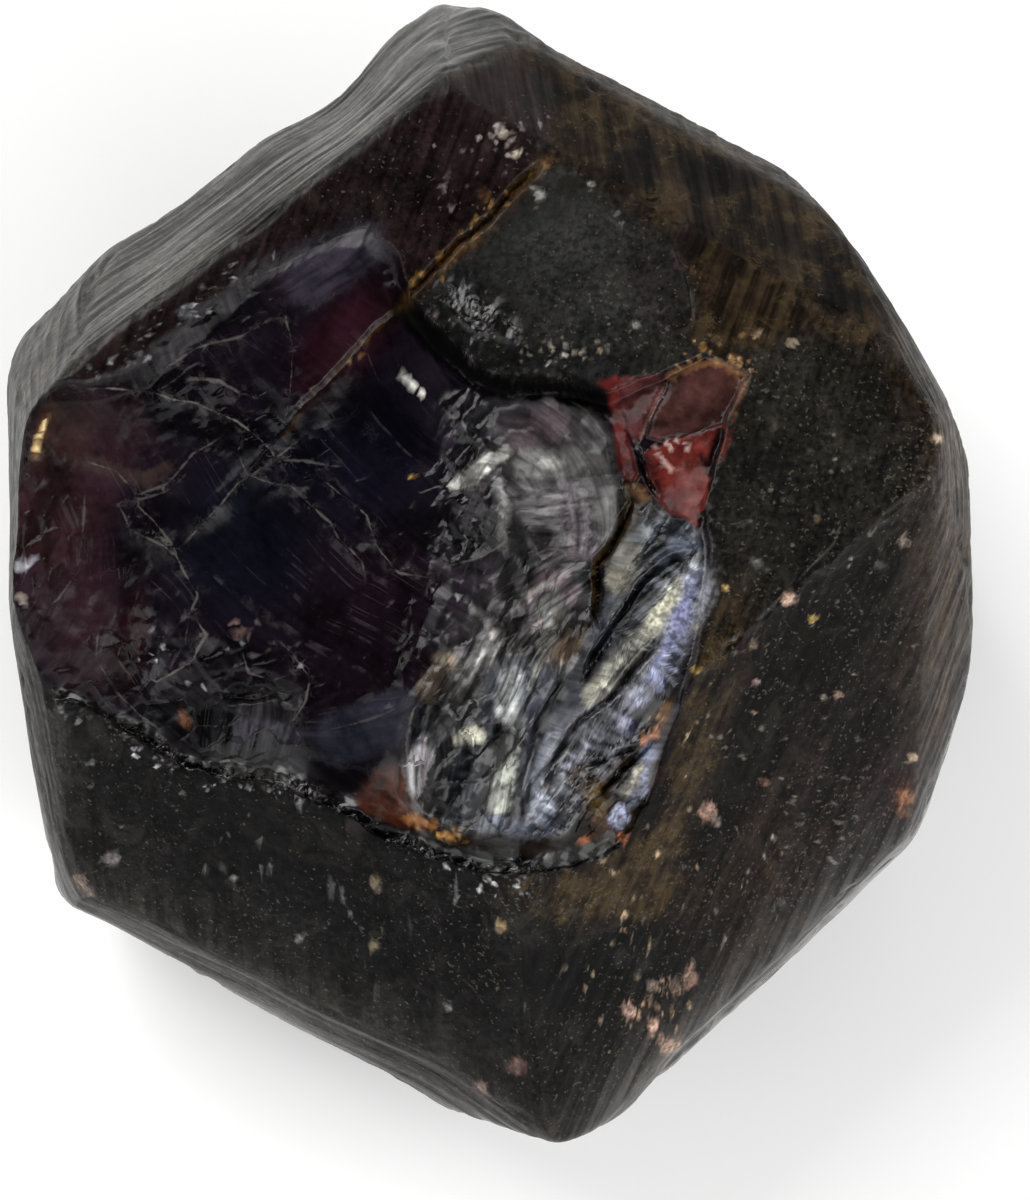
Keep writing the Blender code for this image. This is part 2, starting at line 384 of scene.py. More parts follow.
# ------------------------------------------------ shape of the break (sheet)
# Sharp crests between shells: height, width, how strong the pale crest line is (crushed-edge colour with a painted
# highlight), line.
CRESTS = [
    (8, 22, 0.9, [(86, 388), (152, 393), (197, 405), (238, 421), (269, 448), (286, 472)]),
    (7, 20, 0.6, [(286, 303), (293, 352), (291, 393), (283, 434)]),
    (5, 16, 0.35, [(200, 297), (241, 279), (286, 265), (345, 234), (372, 229)]),
    (6, 14, 0.45, [(150, 378), (172, 365), (197, 348), (238, 338), (276, 317)]),
    (5, 12, 0.6, [(186, 379), (221, 381), (241, 393), (262, 398)]),
    (6, 16, 0.7, [(183, 545), (207, 521), (238, 486), (262, 469), (300, 440)]),
    (6, 14, 0.6, [(238, 452), (248, 476), (293, 486), (310, 503), (331, 521), (338, 538), (362, 562), (366, 583)]),
    (6, 14, 0.7, [(321, 476), (345, 497), (366, 517), (376, 545), (400, 572), (430, 578)]),
    (3, 8, 0.5, [(283, 459), (345, 466)]),
    (7, 18, 0.6, [(131, 500), (150, 520), (172, 545), (183, 572), (197, 593), (188, 614), (186, 648)]),
    (3, 12, 0.45, [(86, 490), (84, 528), (78, 572), (59, 600), (41, 614)]),
    (6, 16, 0.5, [(79, 459), (117, 472), (138, 497), (166, 486), (193, 455), (221, 438)]),
    (5, 12, 0.5, [(117, 500), (131, 531), (166, 548), (179, 562)]),
    (7, 14, 0.3, [(138, 590), (128, 628), (119, 659), (138, 690)]),
    (7, 12, 0.8, [(138, 672), (155, 683), (169, 676), (193, 660), (207, 634), (193, 614)]),
    (6, 14, 0.5, [(100, 628), (97, 659), (114, 690), (138, 714), (162, 731)]),
    (6, 10, 0.6, [(241, 652), (248, 672), (272, 679), (293, 672), (307, 659)]),
    (7, 12, 0.6, [(276, 640), (290, 652), (310, 676), (307, 700), (293, 724), (303, 741)]),
    (5, 14, 0.3, [(328, 731), (365, 722), (400, 708), (430, 689)]),
    (6, 14, 0.4, [(226, 700), (260, 694), (292, 704)]),
    # rounded shell and its neighbours on the bright side
    (5, 16, 0.25, [(497, 416), (526, 395), (559, 395), (588, 412), (605, 437), (613, 482), (617, 515), (596, 553)]),
    (8, 12, 0.8, [(459, 486), (480, 470), (501, 453)]),
    (6, 14, 0.5, [(503, 495), (497, 515), (509, 540), (484, 557), (451, 565), (430, 560)]),
    (4, 10, 0.4, [(530, 557), (548, 550), (563, 553), (568, 563)]),
    (5, 14, 0.4, [(520, 600), (500, 640), (478, 668), (443, 669)]),
    (8, 16, 0.55, [(443, 669), (430, 689), (414, 710), (406, 747), (406, 785), (422, 810), (455, 826), (497, 834)]),
    (5, 10, 0.7, [(452, 742), (470, 736), (482, 722)]),
    (7, 14, 0.3, [(540, 640), (528, 690), (516, 740), (500, 790)]),
    (9, 18, 0.35, [(692, 565), (650, 623), (609, 669), (576, 714), (548, 760), (520, 815)]),
    (7, 12, 0.35, [(683, 536), (650, 563), (625, 586), (604, 606)]),
    (6, 14, 0.2, [(470, 392), (462, 420), (470, 446)]),
]
# Narrow dark cracks: depth, half width, line.
CRACKS = [
    (14, 3.2, [(692, 555), (667, 569), (642, 590), (625, 615), (596, 652), (586, 676)]),
    (9, 2.6, [(667, 631), (640, 664), (629, 677), (609, 706), (567, 735)]),
    (9, 3.0, [(584, 718), (559, 756), (534, 785), (528, 810)]),
    (14, 3.2, [(629, 507), (609, 553), (596, 565), (594, 615), (600, 628)]),
    (12, 3.0, [(652, 742), (622, 770), (598, 792)]),
    (8, 2.4, [(584, 768), (612, 758), (640, 748)]),
    (10, 3.0, [(724, 436), (718, 466), (711, 496), (703, 522)]),
    (1.0, 2.2, [(412, 300), (376, 328), (338, 372), (300, 407), (283, 424)]),
    (6, 2.0, [(638, 444), (643, 460), (648, 478), (658, 496)]),
]
# Scarps: height of the left side at the line, how far it reaches, line.
SCARPS = [
    (10, 70, [(283, 424), (300, 407), (338, 372), (376, 328), (412, 300)]),
    (12, 40, [(594, 615), (596, 565), (609, 553), (629, 507), (622, 470)]),
    (10, 45, [(576, 690), (610, 640), (650, 590), (692, 555)]),
    (9, 30, [(584, 800), (622, 770), (655, 738)]),
]
# Rounded ridges (+) and troughs (-): height, half width, line.
RIDGES = [
    (15, 24, [(694, 566), (668, 604), (634, 655), (604, 700), (570, 746)]),
    (6, 10, [(690, 590), (664, 652), (634, 706)]),
    (-5, 5, [(657, 649), (632, 670), (611, 699), (573, 724), (562, 744)]),
    (7, 18, [(690, 520), (655, 530), (622, 556), (612, 590)]),
    (6, 9, [(700, 545), (668, 556), (640, 574), (618, 604)]),
    (5, 9, [(512, 748), (506, 780), (498, 815)]),
    (4, 10, [(556, 740), (548, 775), (540, 812)]),
    (-5, 7, [(536, 737), (530, 765), (522, 800)]),
    (-6, 14, [(470, 770), (462, 800), (462, 822)]),
    (5, 8, [(516, 674), (510, 700), (518, 728)]),
    (6, 10, [(424, 700), (412, 740), (414, 790), (432, 820)]),
    (4, 12, [(640, 760), (632, 790), (618, 820)]),
    (7, 12, [(456, 484), (478, 470), (506, 453)]),
    (5, 10, [(498, 480), (506, 506), (502, 538)]),
    (4, 7, [(594, 548), (560, 556), (530, 572), (512, 594)]),
    (4, 7, [(592, 572), (566, 580), (540, 600), (526, 622)]),
    (-5, 8, [(450, 505), (460, 530), (480, 548)]),
    (4, 14, [(452, 590), (440, 630), (450, 664)]),
    (3, 10, [(300, 330), (340, 300), (380, 290)]),
    (4, 16, [(300, 405), (330, 380), (350, 340)]),
    (1.2, 3.0, [(410, 476), (413, 478)]),
    (-12, 8, [(400, 306), (432, 340), (470, 374), (506, 390), (548, 388), (594, 402)]),
]
CLIFF = [(438, 292), (456, 276), (474, 290), (500, 306), (522, 326),
         (516, 340), (486, 338), (462, 324)]
BEVEL = [(404, 300), (440, 262), (472, 262), (500, 290), (522, 326),
         (560, 346), (604, 356), (640, 354), (652, 372), (606, 398),
         (547, 376), (509, 380), (484, 372), (443, 331)]
DOME = (5.0, 78.0, (545, 478), (1.0, 0.86))
ISLAND_CRACK = [(548, 160), (524, 178), (500, 205), (470, 236), (440, 262),
                (414, 286), (404, 300)]


def broken_floor(x, y, z):
    """Fine shape of the break, added to its broad floor."""
    p = np.stack([x, y, z], 1)
    u, v = sheet(p)
    wu = u + 3.0 * fbm2(u, v, 40, 11, 3)
    wv = v + 3.0 * fbm2(u, v, 40, 21, 3)
    add = np.zeros(len(x), np.float32)
    for height, width, pale, line in CRESTS:
        broad = width * 2.4
        d, side, t = line_distance(wu, wv, line, reach=broad * 3)
        ends = smooth(0.0, 0.2, t) * smooth(1.0, 0.8, t)
        vary = 0.7 + 0.5 * fbm2(u, v, 30, 5, 2)
        lean = np.where(side > 0, 1.0, 0.6)
        add += (height * vary * ends * np.exp(-d / (broad * lean))
                ).astype(np.float32)
    for height, width, line in RIDGES:
        thin = width <= 3
        d, _, t = line_distance(u if thin else wu, v if thin else wv, line,
                                reach=width * 3)
        ends = smooth(0.0, 0.2, t) * smooth(1.0, 0.8, t)
        add += height * np.exp(-(d / width) ** 2) * (0.15 + 0.85 * ends)
    rise, wide, (cu, cv), (kx, ky) = DOME
    rr = np.hypot((wu - cu) * kx, (wv - cv) * ky) / wide
    add += rise * np.sqrt(np.clip(1 - rr ** 2, 0, 1))
    for height, reach, line in SCARPS:
        d, side, t = line_distance(wu, wv, line, reach=reach * 3)
        ends = smooth(0.0, 0.15, t) * smooth(1.0, 0.85, t)
        add += height * ends * np.exp(-d / reach) * (side > 0)
    crack = np.zeros(len(x), np.float32)
    for depth, width, line in CRACKS:
        d, _, t = line_distance(wu, wv, line, reach=width * 4)
        ends = smooth(0.0, 0.15, t) * smooth(1.0, 0.85, t)
        g = np.exp(-(d / width) ** 2) * (0.25 + 0.75 * ends)
        add -= depth * g
        crack = np.maximum(crack, g.astype(np.float32))
    return u, v, add, crack


RED_STRIP = [(598, 382), (618, 376), (624, 386), (620, 404), (626, 430),
             (632, 450), (640, 478), (634, 488), (624, 480), (618, 456),
             (614, 430), (612, 412), (604, 400)]
RED_BLOCK = [(620, 378), (668, 374), (664, 386), (656, 402), (646, 428),
             (638, 446), (628, 430), (622, 408)]
RED_SLAB = [(672, 376), (690, 366), (716, 362), (740, 374), (744, 392),
            (736, 410), (728, 422), (706, 430), (680, 436), (662, 442),
            (648, 438), (652, 420), (664, 396)]
RED_WEDGE = [(678, 438), (706, 431), (726, 424), (728, 440), (716, 470),
             (708, 506), (698, 528), (686, 520), (672, 516), (660, 504),
             (648, 484), (642, 464), (646, 452), (662, 446)]
FACETS = [
    (RED_STRIP, (620, 430), 0.5, 0.22, 0.02),
    (RED_BLOCK, (644, 404), 2.0, 0.05, 0.05),
    (RED_SLAB, (700, 400), 2.0, -0.04, 0.06),
    (RED_WEDGE, (688, 474), 1.5, 0.12, -0.05),
]


def zone(u, v, cx, cy, rx, ry, turn=0.0, soft=0.35):
    a = math.radians(turn)
    dx = u - cx; dy = -(v - cy)
    p = (dx * math.cos(a) + dy * math.sin(a)) / rx
    q = (-dx * math.sin(a) + dy * math.cos(a)) / ry
    return smooth(1 + soft, 1 - soft, np.hypot(p, q)).astype(np.float32)


def shell_ribs(u0, v0):
    """Conchoidal ripples and hackle, by zone, in drawing units."""
    u = u0 + 7 * fbm2(u0, v0, 60, 61, 3)
    v = v0 + 7 * fbm2(u0, v0, 60, 62, 3)
    out = np.zeros(len(u), np.float32)

    def rings(cx, cy, wave, amp, mask, skew=1.0, seed=0):
        r = np.hypot(u - cx, (v - cy) * skew)
        th = np.arctan2(v - cy, u - cx)
        w = noise2(r / wave, th * 2.2, 100 + seed)
        w = w + 0.5 * noise2(r / wave * 2.1 + 7, th * 3.0, 140 + seed)
        patch = 0.55 + 0.6 * fbm2(u0, v0, 55, 160 + seed, 2)
        return amp * w * np.clip(patch, 0, 1.2) * mask

    # rounded shell: rings about a point to its lower left
    out += rings(470, 470, 9, 0.8, zone(u, v, 560, 445, 62, 58), seed=1)
    out += rings(452, 620, 9, 1.7, zone(u, v, 552, 520, 52, 46), 1.6, 2)
    out += rings(440, 520, 17, 1.7, zone(u, v, 530, 630, 66, 62), 1.0, 3)
    out += rings(600, 600, 17, 1.6, zone(u, v, 470, 760, 60, 84), 1.0, 4)
    out += rings(420, 640, 20, 1.8, zone(u, v, 545, 740, 50, 100, -20), 1, 5)
    out += rings(820, 780, 16, 2.0, zone(u, v, 640, 650, 44, 130, -32), 1, 6)
    # ripples beside the plateau's cliff
    out += rings(560, 330, 6, 0.8, zone(u, v, 450, 400, 40, 60, 30), 1.0, 7)
    # ribs under the small dark hollow
    rib = noise2((u + 0.25 * v) / 4.5, v / 40.0, 71)
    out += 1.3 * rib * zone(u, v, 252, 728, 44, 24)
    # arcs at the left and in the upper facets
    out += rings(-60, 540, 12, 0.8, zone(u, v, 60, 540, 60, 90), 1.0, 9)
    out += rings(330, 470, 10, 0.8, zone(u, v, 250, 310, 60, 50), 1.0, 10)
    out += rings(230, 470, 16, 0.9, zone(u, v, 370, 730, 70, 50), 1.0, 11)
    out += rings(200, 640, 9, 1.4, zone(u, v, 190, 690, 60, 45), 1.0, 12)
    out += rings(345, 480, 18, 0.9, zone(u, v, 395, 420, 90, 90), 1.0, 13)
    # hackle: sharp little flakes
    ridge = 1 - np.abs(fbm2(u, v, 26, 31, 4, 0.55))
    rough = zone(u, v, 350, 620, 90, 100, 0) * 2.4
    rough += zone(u, v, 500, 640, 90, 70) * 1.2
    rough += zone(u, v, 462, 500, 30, 60) * 2.6
    rough += zone(u, v, 480, 760, 80, 80) * 0.8
    rough += zone(u, v, 640, 640, 50, 130, -32) * 1.0
    rough += zone(u, v, 140, 620, 80, 90) * 2.6
    rough += zone(u, v, 200, 420, 110, 60) * 2.0
    rough += zone(u, v, 610, 790, 40, 50) * 5.0
    rough += 0.7
    out += rough * (ridge - 0.75)
    return out


def shards(u0, v0):
    """Flat-sided flakes of the break: their height, and the painted light and shade of each."""
    u = u0 + 5 * fbm2(u0, v0, 34, 501, 3)
    v = v0 + 5 * fbm2(u0, v0, 34, 502, 3)
    height = np.zeros(len(u0)); shade = np.ones(len(u0))
    low = region(u, v, SHELL_LOW, 8)
    ridge = region(u, v, LONG_RIDGE, 5)
    # mask, way the flakes run, width, length, step, tilt, contrast
    table = (
        (low, 62, 13, 38, 0.3, 1.9, 0.50),
        (low, 58, 26, 56, 0.8, 3.4, 0.90),
        (zone(u, v, 556, 436, 58, 44), -40, 16, 34, 0.2, 1.0, 0.36),
        (zone(u, v, 470, 490, 32, 84, 0, 0.5), 50, 12, 24, 0.8, 4.4, 0.80),
        (ridge, 146, 5, 17, 0.3, 1.6, 0.75),
        (ridge, 56, 13, 54, 0.7, 2.6, 0.60),
        (zone(u, v, 606, 790, 36, 44), 50, 10, 18, 2.0, 4.5, 0.8),
        (zone(u, v, 520, 640, 66, 76, 0, 0.4), 66, 15, 34, 0.25, 1.8, 0.75),
        (zone(u, v, 170, 690, 120, 66, -10, 0.5), 20, 21, 34, 0.6, 4.2, 0.35),
        (zone(u, v, 38, 530, 34, 110, 0, 0.5), 80, 15, 30, 0.4, 3.4, 0.4),
        (zone(u, v, 425, 610, 34, 84, 0, 0.5), 60, 15, 30, 0.5, 3.8, 0.35),
        (zone(u, v, 235, 420, 120, 44, -30, 0.5), 150, 15, 36, 0.5, 2.6, 0.3),
        (zone(u, v, 200, 330, 120, 34, 38, 0.5), 40, 14, 34, 0.5, 2.4, 0.3),
    )
    for k, (mask, turn, wide, long_, step, tilt, tint) in enumerate(table):
        pick = np.where(mask > 0.01)[0]
        if len(pick) == 0:
            continue
        t = math.radians(turn)
        a = (u[pick] * math.sin(t) + v[pick] * math.cos(t)) / wide
        l = (u[pick] * math.cos(t) - v[pick] * math.sin(t)) / long_
        val, ox, oy, edge = cells(a, l, 510 + 5 * k)
        r2 = (val * 7.31) % 1.0 * 2 - 1
        r3 = (val * 13.7) % 1.0 * 2 - 1
        m = mask[pick]
        height[pick] += m * (step * (val * 2 - 1) + tilt * (ox * r2 + oy * r3))
        # painted light: each flake lighter or darker as if it caught the light, with painted shade along its edges
        bright = np.exp(tint * 1.5 * ((val * 3.17) % 1.0 * 2 - 1) - 0.12)
        bright = bright * (1 - 0.35 * tint * smooth(0.14, 0.02, edge))
        shade[pick] *= 1 + m * (bright - 1)
    return height, shade


def hollows(u0, v0):
    u = u0 + 6 * fbm2(u0, v0, 18, 63, 3)
    v = v0 + 6 * fbm2(u0, v0, 18, 64, 3)
    out = np.zeros(len(u), np.float32)
    out -= 14 * zone(u, v, 252, 689, 36, 13, -4, 0.5)      # black hollow
    out -= 9 * zone(u, v, 640, 722, 17, 13, 40, 0.5)       # pit by the ridge
    out -= 6 * zone(u, v, 152, 640, 16, 34, -8, 0.6)       # dark red furrow
    out -= 5 * zone(u, v, 80, 694, 18, 8, -20, 0.5)
    out += 5 * zone(u, v, 376, 815, 30, 16, -15, 0.5)      # red-brown chip
    return out


# Way the growth lines run on each face, as an angle on the sheet.
GRAIN = {
    "top": 70.0, "upper_left": 38.0, "upper_right": 100.0, "brow": 101.0,
    "lower_right": 66.0, "lower_left": 92.0, "head": 12.0,
    "right_upper": 118.0, "right": 93.0, "right_lower": 70.0,
    "foot_right": 44.0, "foot_left": -27.0, "left_lower": 102.0,
    "left_upper": 80.0,
}


def grain_frames():
    along, across = [], []
    for i, name in enumerate(NAMES):
        nrm = NORMALS[i]
        if name in GRAIN:
            a = math.radians(GRAIN[name])
            p0 = from_sheet(490, 575, nrm, DISTS[i])
            p1 = from_sheet(490 + 10 * math.cos(a), 575 - 10 * math.sin(a),
                            nrm, DISTS[i])
            t = p1 - p0
        elif name == "back":
            t = np.array([math.cos(0.6), math.sin(0.6), 0.0])
        else:
            t = np.cross(nrm, np.array([0.0, 0.0, 1.0]))
            t = t * 0.94 + np.cross(t, nrm) * 0.34
        t = t / np.linalg.norm(t)
        b = np.cross(nrm, t)
        along.append(t); across.append(b)
    return np.array(along), np.array(across)


# How far the growth lines stand out on each face.
RELIEF = {"top": 0.12, "back": 0.3, "lower_left": 0.16, "lower_right": 0.42,
          "upper_left": 0.75, "head": 0.6, "upper_right": 0.7, "brow": 0.6,
          "right_upper": 0.9, "right": 1.0, "right_lower": 1.0,
          "foot_right": 0.7, "foot_left": 0.9, "left_lower": 0.7,
          "left_upper": 0.8}
# Small pale flakes on the skin: place, size, colour.
SPOTS = [
    (790, 599, 6.5, (205, 170, 145)), (813, 620, 4.5, (176, 150, 66)),
    (755, 645, 4, (140, 116, 92)), (759, 564, 5, (112, 110, 106)),
    (768, 570, 3, (104, 102, 98)), (905, 543, 5.5, (128, 112, 98)),
    (880, 566, 5.5, (110, 104, 98)), (838, 695, 4, (150, 126, 96)),
    (757, 682, 3.5, (150, 124, 120)), (708, 812, 8.5, (212, 164, 138)),
    (716, 822, 5, (150, 130, 124)), (765, 782, 5, (120, 78, 56)),
    (938, 439, 5, (150, 132, 110)), (913, 757, 4.5, (160, 138, 110)),
    (905, 798, 8, (130, 84, 54)), (904, 812, 7, (120, 76, 48)),
    (726, 589, 3, (170, 140, 90)), (695, 628, 3.5, (150, 126, 80)),
    (697, 670, 5, (130, 106, 40)), (791, 344, 5, (168, 150, 130)),
    (818, 521, 3.5, (120, 96, 70)), (690, 978, 8, (188, 150, 128)),
    (676, 986, 6, (160, 128, 110)), (652, 986, 6, (140, 120, 106)),
    (630, 1011, 7, (188, 152, 132)), (653, 1026, 6, (170, 136, 118)),
    (672, 1045, 8, (150, 124, 108)), (661, 1040, 5, (160, 130, 112)),
    (517, 1066, 8, (96, 62, 54)), (482, 1088, 6, (110, 84, 74)),
    (78, 884, 9, (158, 134, 116)), (88, 892, 6, (150, 128, 110)),
    (110, 858, 7, (132, 124, 124)), (233, 879, 3.5, (130, 128, 126)),
    (375, 882, 6, (160, 138, 110)), (378, 890, 4, (140, 120, 100)),
    (501, 926, 6, (140, 116, 76)), (301, 939, 4, (96, 96, 94)),
    (375, 947, 5, (104, 92, 56)), (448, 1008, 4, (84, 82, 80)),
    (91, 763, 4, (116, 116, 118)), (602, 860, 4, (150, 120, 80)),
    (540, 195, 5.5, (190, 186, 180)), (532, 188, 3.5, (170, 166, 160)),
    (592, 184, 3.5, (140, 138, 134)), (505, 134, 4, (210, 190, 170)),
    (500, 128, 5, (150, 140, 136)), (516, 154, 4, (190, 176, 160)),
    (452, 208, 3, (190, 170, 180)), (486, 196, 5, (90, 62, 36)),
    (414, 283, 5, (168, 126, 44)), (424, 276, 4, (150, 112, 40)),
    (464, 246, 3.5, (200, 180, 140)), (440, 262, 4, (140, 100, 40)),
    (186, 312, 6, (120, 122, 128)), (192, 306, 3.5, (190, 190, 194)),
    (286, 266, 3.5, (176, 172, 172)), (600, 352, 3, (150, 130, 110)),
    (636, 326, 3.5, (150, 146, 140)), (566, 346, 3, (160, 156, 150)),
    (22, 567, 6, (190, 188, 194)), (32, 564, 4, (170, 168, 176)),
    (21, 598, 5, (150, 138, 128)), (24, 604, 3, (170, 160, 150)),
]
# Clusters of flecks: count, sizes, two colours, spread, line they lie along.
CLUSTERS = [
    # this row and the next two: painted glints, pale sparkle along the broken rim
    (70, (1.2, 3.2), (150, 150, 156), (214, 214, 218), 12, [(66, 706), (110, 722), (150, 748), (186, 768)]),
    (26, (1.2, 3.0), (140, 140, 144), (226, 222, 220), 6, [(200, 782), (250, 786), (300, 796), (326, 806)]),
    (60, (1.2, 3.2), (140, 138, 142), (210, 206, 206), 14, [(430, 856), (480, 874), (520, 880), (550, 872)]),
    # painted glints: pale sparkle on the plateau's cliff
    (34, (1.0, 2.6), (110, 110, 112), (220, 222, 220), 9, [(452, 296), (470, 312), (496, 326), (514, 334)]),
    (30, (1.0, 2.6), (120, 112, 96), (190, 180, 168), 12, [(530, 352), (570, 350), (610, 356)]),
    (60, (1.0, 2.8), (44, 34, 36), (130, 118, 114), 9, [(412, 298), (443, 331), (484, 371), (509, 380), (560, 376)]),
    (30, (1.0, 2.4), (84, 78, 78), (150, 136, 132), 30, [(430, 210), (480, 150), (530, 130), (520, 180)]),
    (8, (2.0, 4.0), (120, 110, 108), (200, 184, 176), 14, [(486, 150), (510, 132), (516, 150)]),
    (40, (1.0, 2.8), (90, 88, 90), (170, 170, 176), 14, [(90, 380), (150, 340), (200, 300), (270, 262)]),
    (60, (1.0, 2.6), (84, 80, 74), (130, 124, 112), 60, [(760, 420), (800, 480), (830, 560), (860, 620)]),
    (60, (1.0, 3.2), (96, 84, 66), (170, 144, 110), 50, [(740, 640), (700, 760), (660, 900), (600, 1000)]),
    (60, (1.0, 3.0), (80, 78, 74), (140, 130, 116), 60, [(820, 700), (800, 820), (740, 900)]),
    (36, (1.0, 2.0), (66, 68, 68), (110, 110, 106), 60, [(120, 800), (260, 860), (420, 930), (500, 1010)]),
    (26, (1.5, 4.5), (150, 110, 60), (196, 164, 130), 16, [(690, 356), (720, 352), (744, 372)]),
    (36, (1.2, 3.4), (130, 92, 40), (190, 146, 70), 9, [(545, 164), (500, 204), (450, 254), (414, 286)]),
    (18, (1.2, 3.0), (120, 84, 40), (170, 124, 60), 6, [(397, 307), (338, 369), (300, 412)]),
    (26, (1.5, 4.0), (130, 90, 34), (190, 140, 60), 14, [(410, 812), (440, 836), (460, 846)]),
    (22, (1.5, 3.4), (130, 96, 50), (180, 150, 110), 14, [(640, 716), (660, 730), (648, 760)]),
    (20, (1.0, 2.3), (84, 70, 70), (150, 124, 118), 10, [(232, 636), (252, 632)]),
    (24, (1.0, 2.6), (140, 136, 140), (200, 198, 200), 26, [(140, 640), (190, 680), (240, 650), (300, 660)]),
    (26, (1.0, 2.4), (120, 116, 120), (190, 186, 190), 20, [(440, 560), (470, 600), (440, 650)]),
    (24, (1.4, 3.6), (150, 118, 90), (200, 160, 130), 22, [(640, 990), (664, 1010), (680, 980)]),
    (18, (1.2, 2.6), (200, 180, 170), (230, 190, 180), 10, [(660, 440), (680, 450), (700, 440)]),
]


def scatter():
    rng = np.random.default_rng(7)
    out = []
    for count, (lo, hi), dark, light, spread, line in CLUSTERS:
        line = np.asarray(line, float)
        for _ in range(count):
            k = rng.uniform(0, len(line) - 1)
            i = int(k)
            at = line[i] + (line[i + 1] - line[i]) * (k - i)
            at = at + rng.normal(0, spread * 0.55, 2)
            mixed = (np.asarray(dark) + (np.asarray(light) - np.asarray(dark))
                     * rng.uniform() ** 1.6)
            out.append((at[0], at[1], lo + (hi - lo) * rng.uniform() ** 2.5,
                        tuple(mixed)))
    return out


SPOTS = SPOTS + scatter()


# Narrow grooves (+) and fibres (-) on the skin: depth, half width, line.
CUTS = [
    (1.6, 2.2, [(753, 630), (795, 582), (832, 543), (846, 507)]),
    (1.4, 2.2, [(804, 616), (834, 575), (889, 532)]),
    (1.2, 2.0, [(505, 930), (560, 918), (620, 905), (680, 900)]),
    (-1.2, 1.5, [(498, 949), (536, 944), (573, 938)]),
    (-1.2, 1.3, [(700, 528), (716, 521), (736, 530), (754, 522)]),
    (-1.4, 1.6, [(726, 780), (720, 790), (713, 801)]),
    (-1.2, 1.3, [(660, 770), (672, 764), (680, 772), (674, 780)]),
    (2.6, 3.2, [(618, 206), (612, 216), (622, 224)]),
    (1.6, 2.2, [(606, 186), (640, 214), (672, 240), (690, 290), (694, 340)]),
    (1.2, 2.0, [(60, 742), (90, 770), (100, 820)]),
    (-1.0, 1.5, [(88, 716), (120, 740), (160, 762)]),
]


# ---------------------------------------------------------------- build
def build_form(n):
    d, quads, ring = disc_grid(n)
    p, w = worn_form(d)
    # natural unevenness: the whole form is warped a little
    warp = np.stack([noise3(p, 170, 1) * 2.6 + noise3(p, 48, 4) * 1.1,
                     noise3(p, 170, 2) * 2.6 + noise3(p, 48, 5) * 1.1,
                     noise3(p, 170, 3) * 1.6 + noise3(p, 48, 6) * 0.7], 1)
    order = np.sort(w, axis=1)
    edge = 1 - smooth(0.5, 0.98, order[:, -1])
    chips = np.maximum(0, noise3(p, 26, 8) - 0.15) * edge * 7.0
    chips += np.maximum(0, noise3(p, 9, 9) - 0.1) * edge * 1.8
    normal = w @ NORMALS
    normal /= np.linalg.norm(normal, axis=1, keepdims=True)
    p = p + warp - normal * chips[:, None]
    # growth lines standing slightly proud, each face in its own direction
    along, across = grain_frames()
    idx = w.argmax(1)
    ga = (p * across[idx]).sum(1); gl = (p * along[idx]).sum(1)
    amp = np.array([RELIEF.get(name, 0.5) for name in NAMES])[idx]
    calm = smooth(0.55, 0.9, order[:, -1])
    rib = (noise2(ga / 7.0, gl / 90.0 + idx * 7, 301)
           + 0.7 * smooth(-60, 40, p[:, 2])
           * noise2(ga / 3.6, gl / 60.0 + idx * 11, 302)
           + 0.8 * noise2(ga / 17.0, gl / 160.0 + idx * 13, 303))
    p = p + normal * (amp * calm * rib)[:, None]
    # the waves in the upper left rim
    u, v = sheet(p)
    rimward = smooth(-160, 0, p[:, 2]) * smooth(260, 120, p[:, 2])
    dents = [(430, 16, 5, 26), (335, 98, 11, 42), (402, 30, -6, 40),
             (270, 148, -4, 30), (22, 352, -19, 52), (92, 262, -9, 44),
             (8, 430, -8, 44), (452, 10, -9, 46), (506, 18, -9, 30),
             (960, 386, 8, 42), (300, 1040, 7, 110), (120, 940, 6, 60),
             (10, 560, -5, 60), (6, 480, -5, 46),
             (24, 780, -5, 62), (48, 872, -11, 34), (400, 1082, 10, 46),
             (236, 978, 4, 44), (845, 213, 9, 34),
             (440, 1100, 7, 34), (566, 1140, -4, 40)]
    for cu, cv, depth, size in dents:
        g = np.exp(-((u - cu) ** 2 + (v - cv) ** 2) / (2 * size ** 2))
        p -= normal * (depth * g * (0.35 + 0.65 * rimward))[:, None]
    p[:, 2] = np.maximum(p[:, 2], -HALF_THICK)
    near = p[:, 2] > -40
    su, sv = u[near], v[near]
    lift = np.zeros(len(su))
    lump = 0.7 + 0.6 * noise2(su / 4, sv / 4, 9)
    order_u = np.argsort(su)
    sorted_u = su[order_u]
    for cu, cv, size, _ in SPOTS:
        lo, hi = np.searchsorted(sorted_u, (cu - 3 * size, cu + 3 * size))
        k = order_u[lo:hi]
        k = k[np.abs(sv[k] - cv) < 3 * size]
        q = np.hypot(su[k] - cu, sv[k] - cv) / size
        lift[k] += min(1.6, 0.5 * size) * np.exp(-q ** 2) * lump[k]
    wu = su + 3 * fbm2(su, sv, 30, 311, 3)
    wv = sv + 3 * fbm2(su, sv, 30, 312, 3)
    for depth, width, line in CUTS:
        dd, _, t = line_distance(wu, wv, line, reach=width * 4)
        lift -= (depth * np.exp(-(dd / width) ** 2) * smooth(0, 0.15, t)
                 * smooth(1, 0.85, t))
    p[near] += normal[near] * lift[:, None]
    flat = (w[:, NAMES.index("back")] > 0.9)
    p[flat, 2] = -HALF_THICK
    return p, w, quads, ring


def crack_course(u, v):
    return line_distance(u + 6 * fbm2(u, v, 22, 41, 4, 0.6),
                         v + 6 * fbm2(u, v, 22, 42, 4, 0.6),
                         ISLAND_CRACK, reach=36)


def island_crack(p):
    u, v = sheet(p)
    d, side, t = crack_course(u, v)
    g = np.exp(-(d / 3.4) ** 2) * smooth(0.0, 0.1, t)
    low = 4.0 * np.exp(-d / 22.0) * (side < 0) * smooth(0, 0.15, t)
    return (9.0 * g + low) * (p[:, 2] > 200)


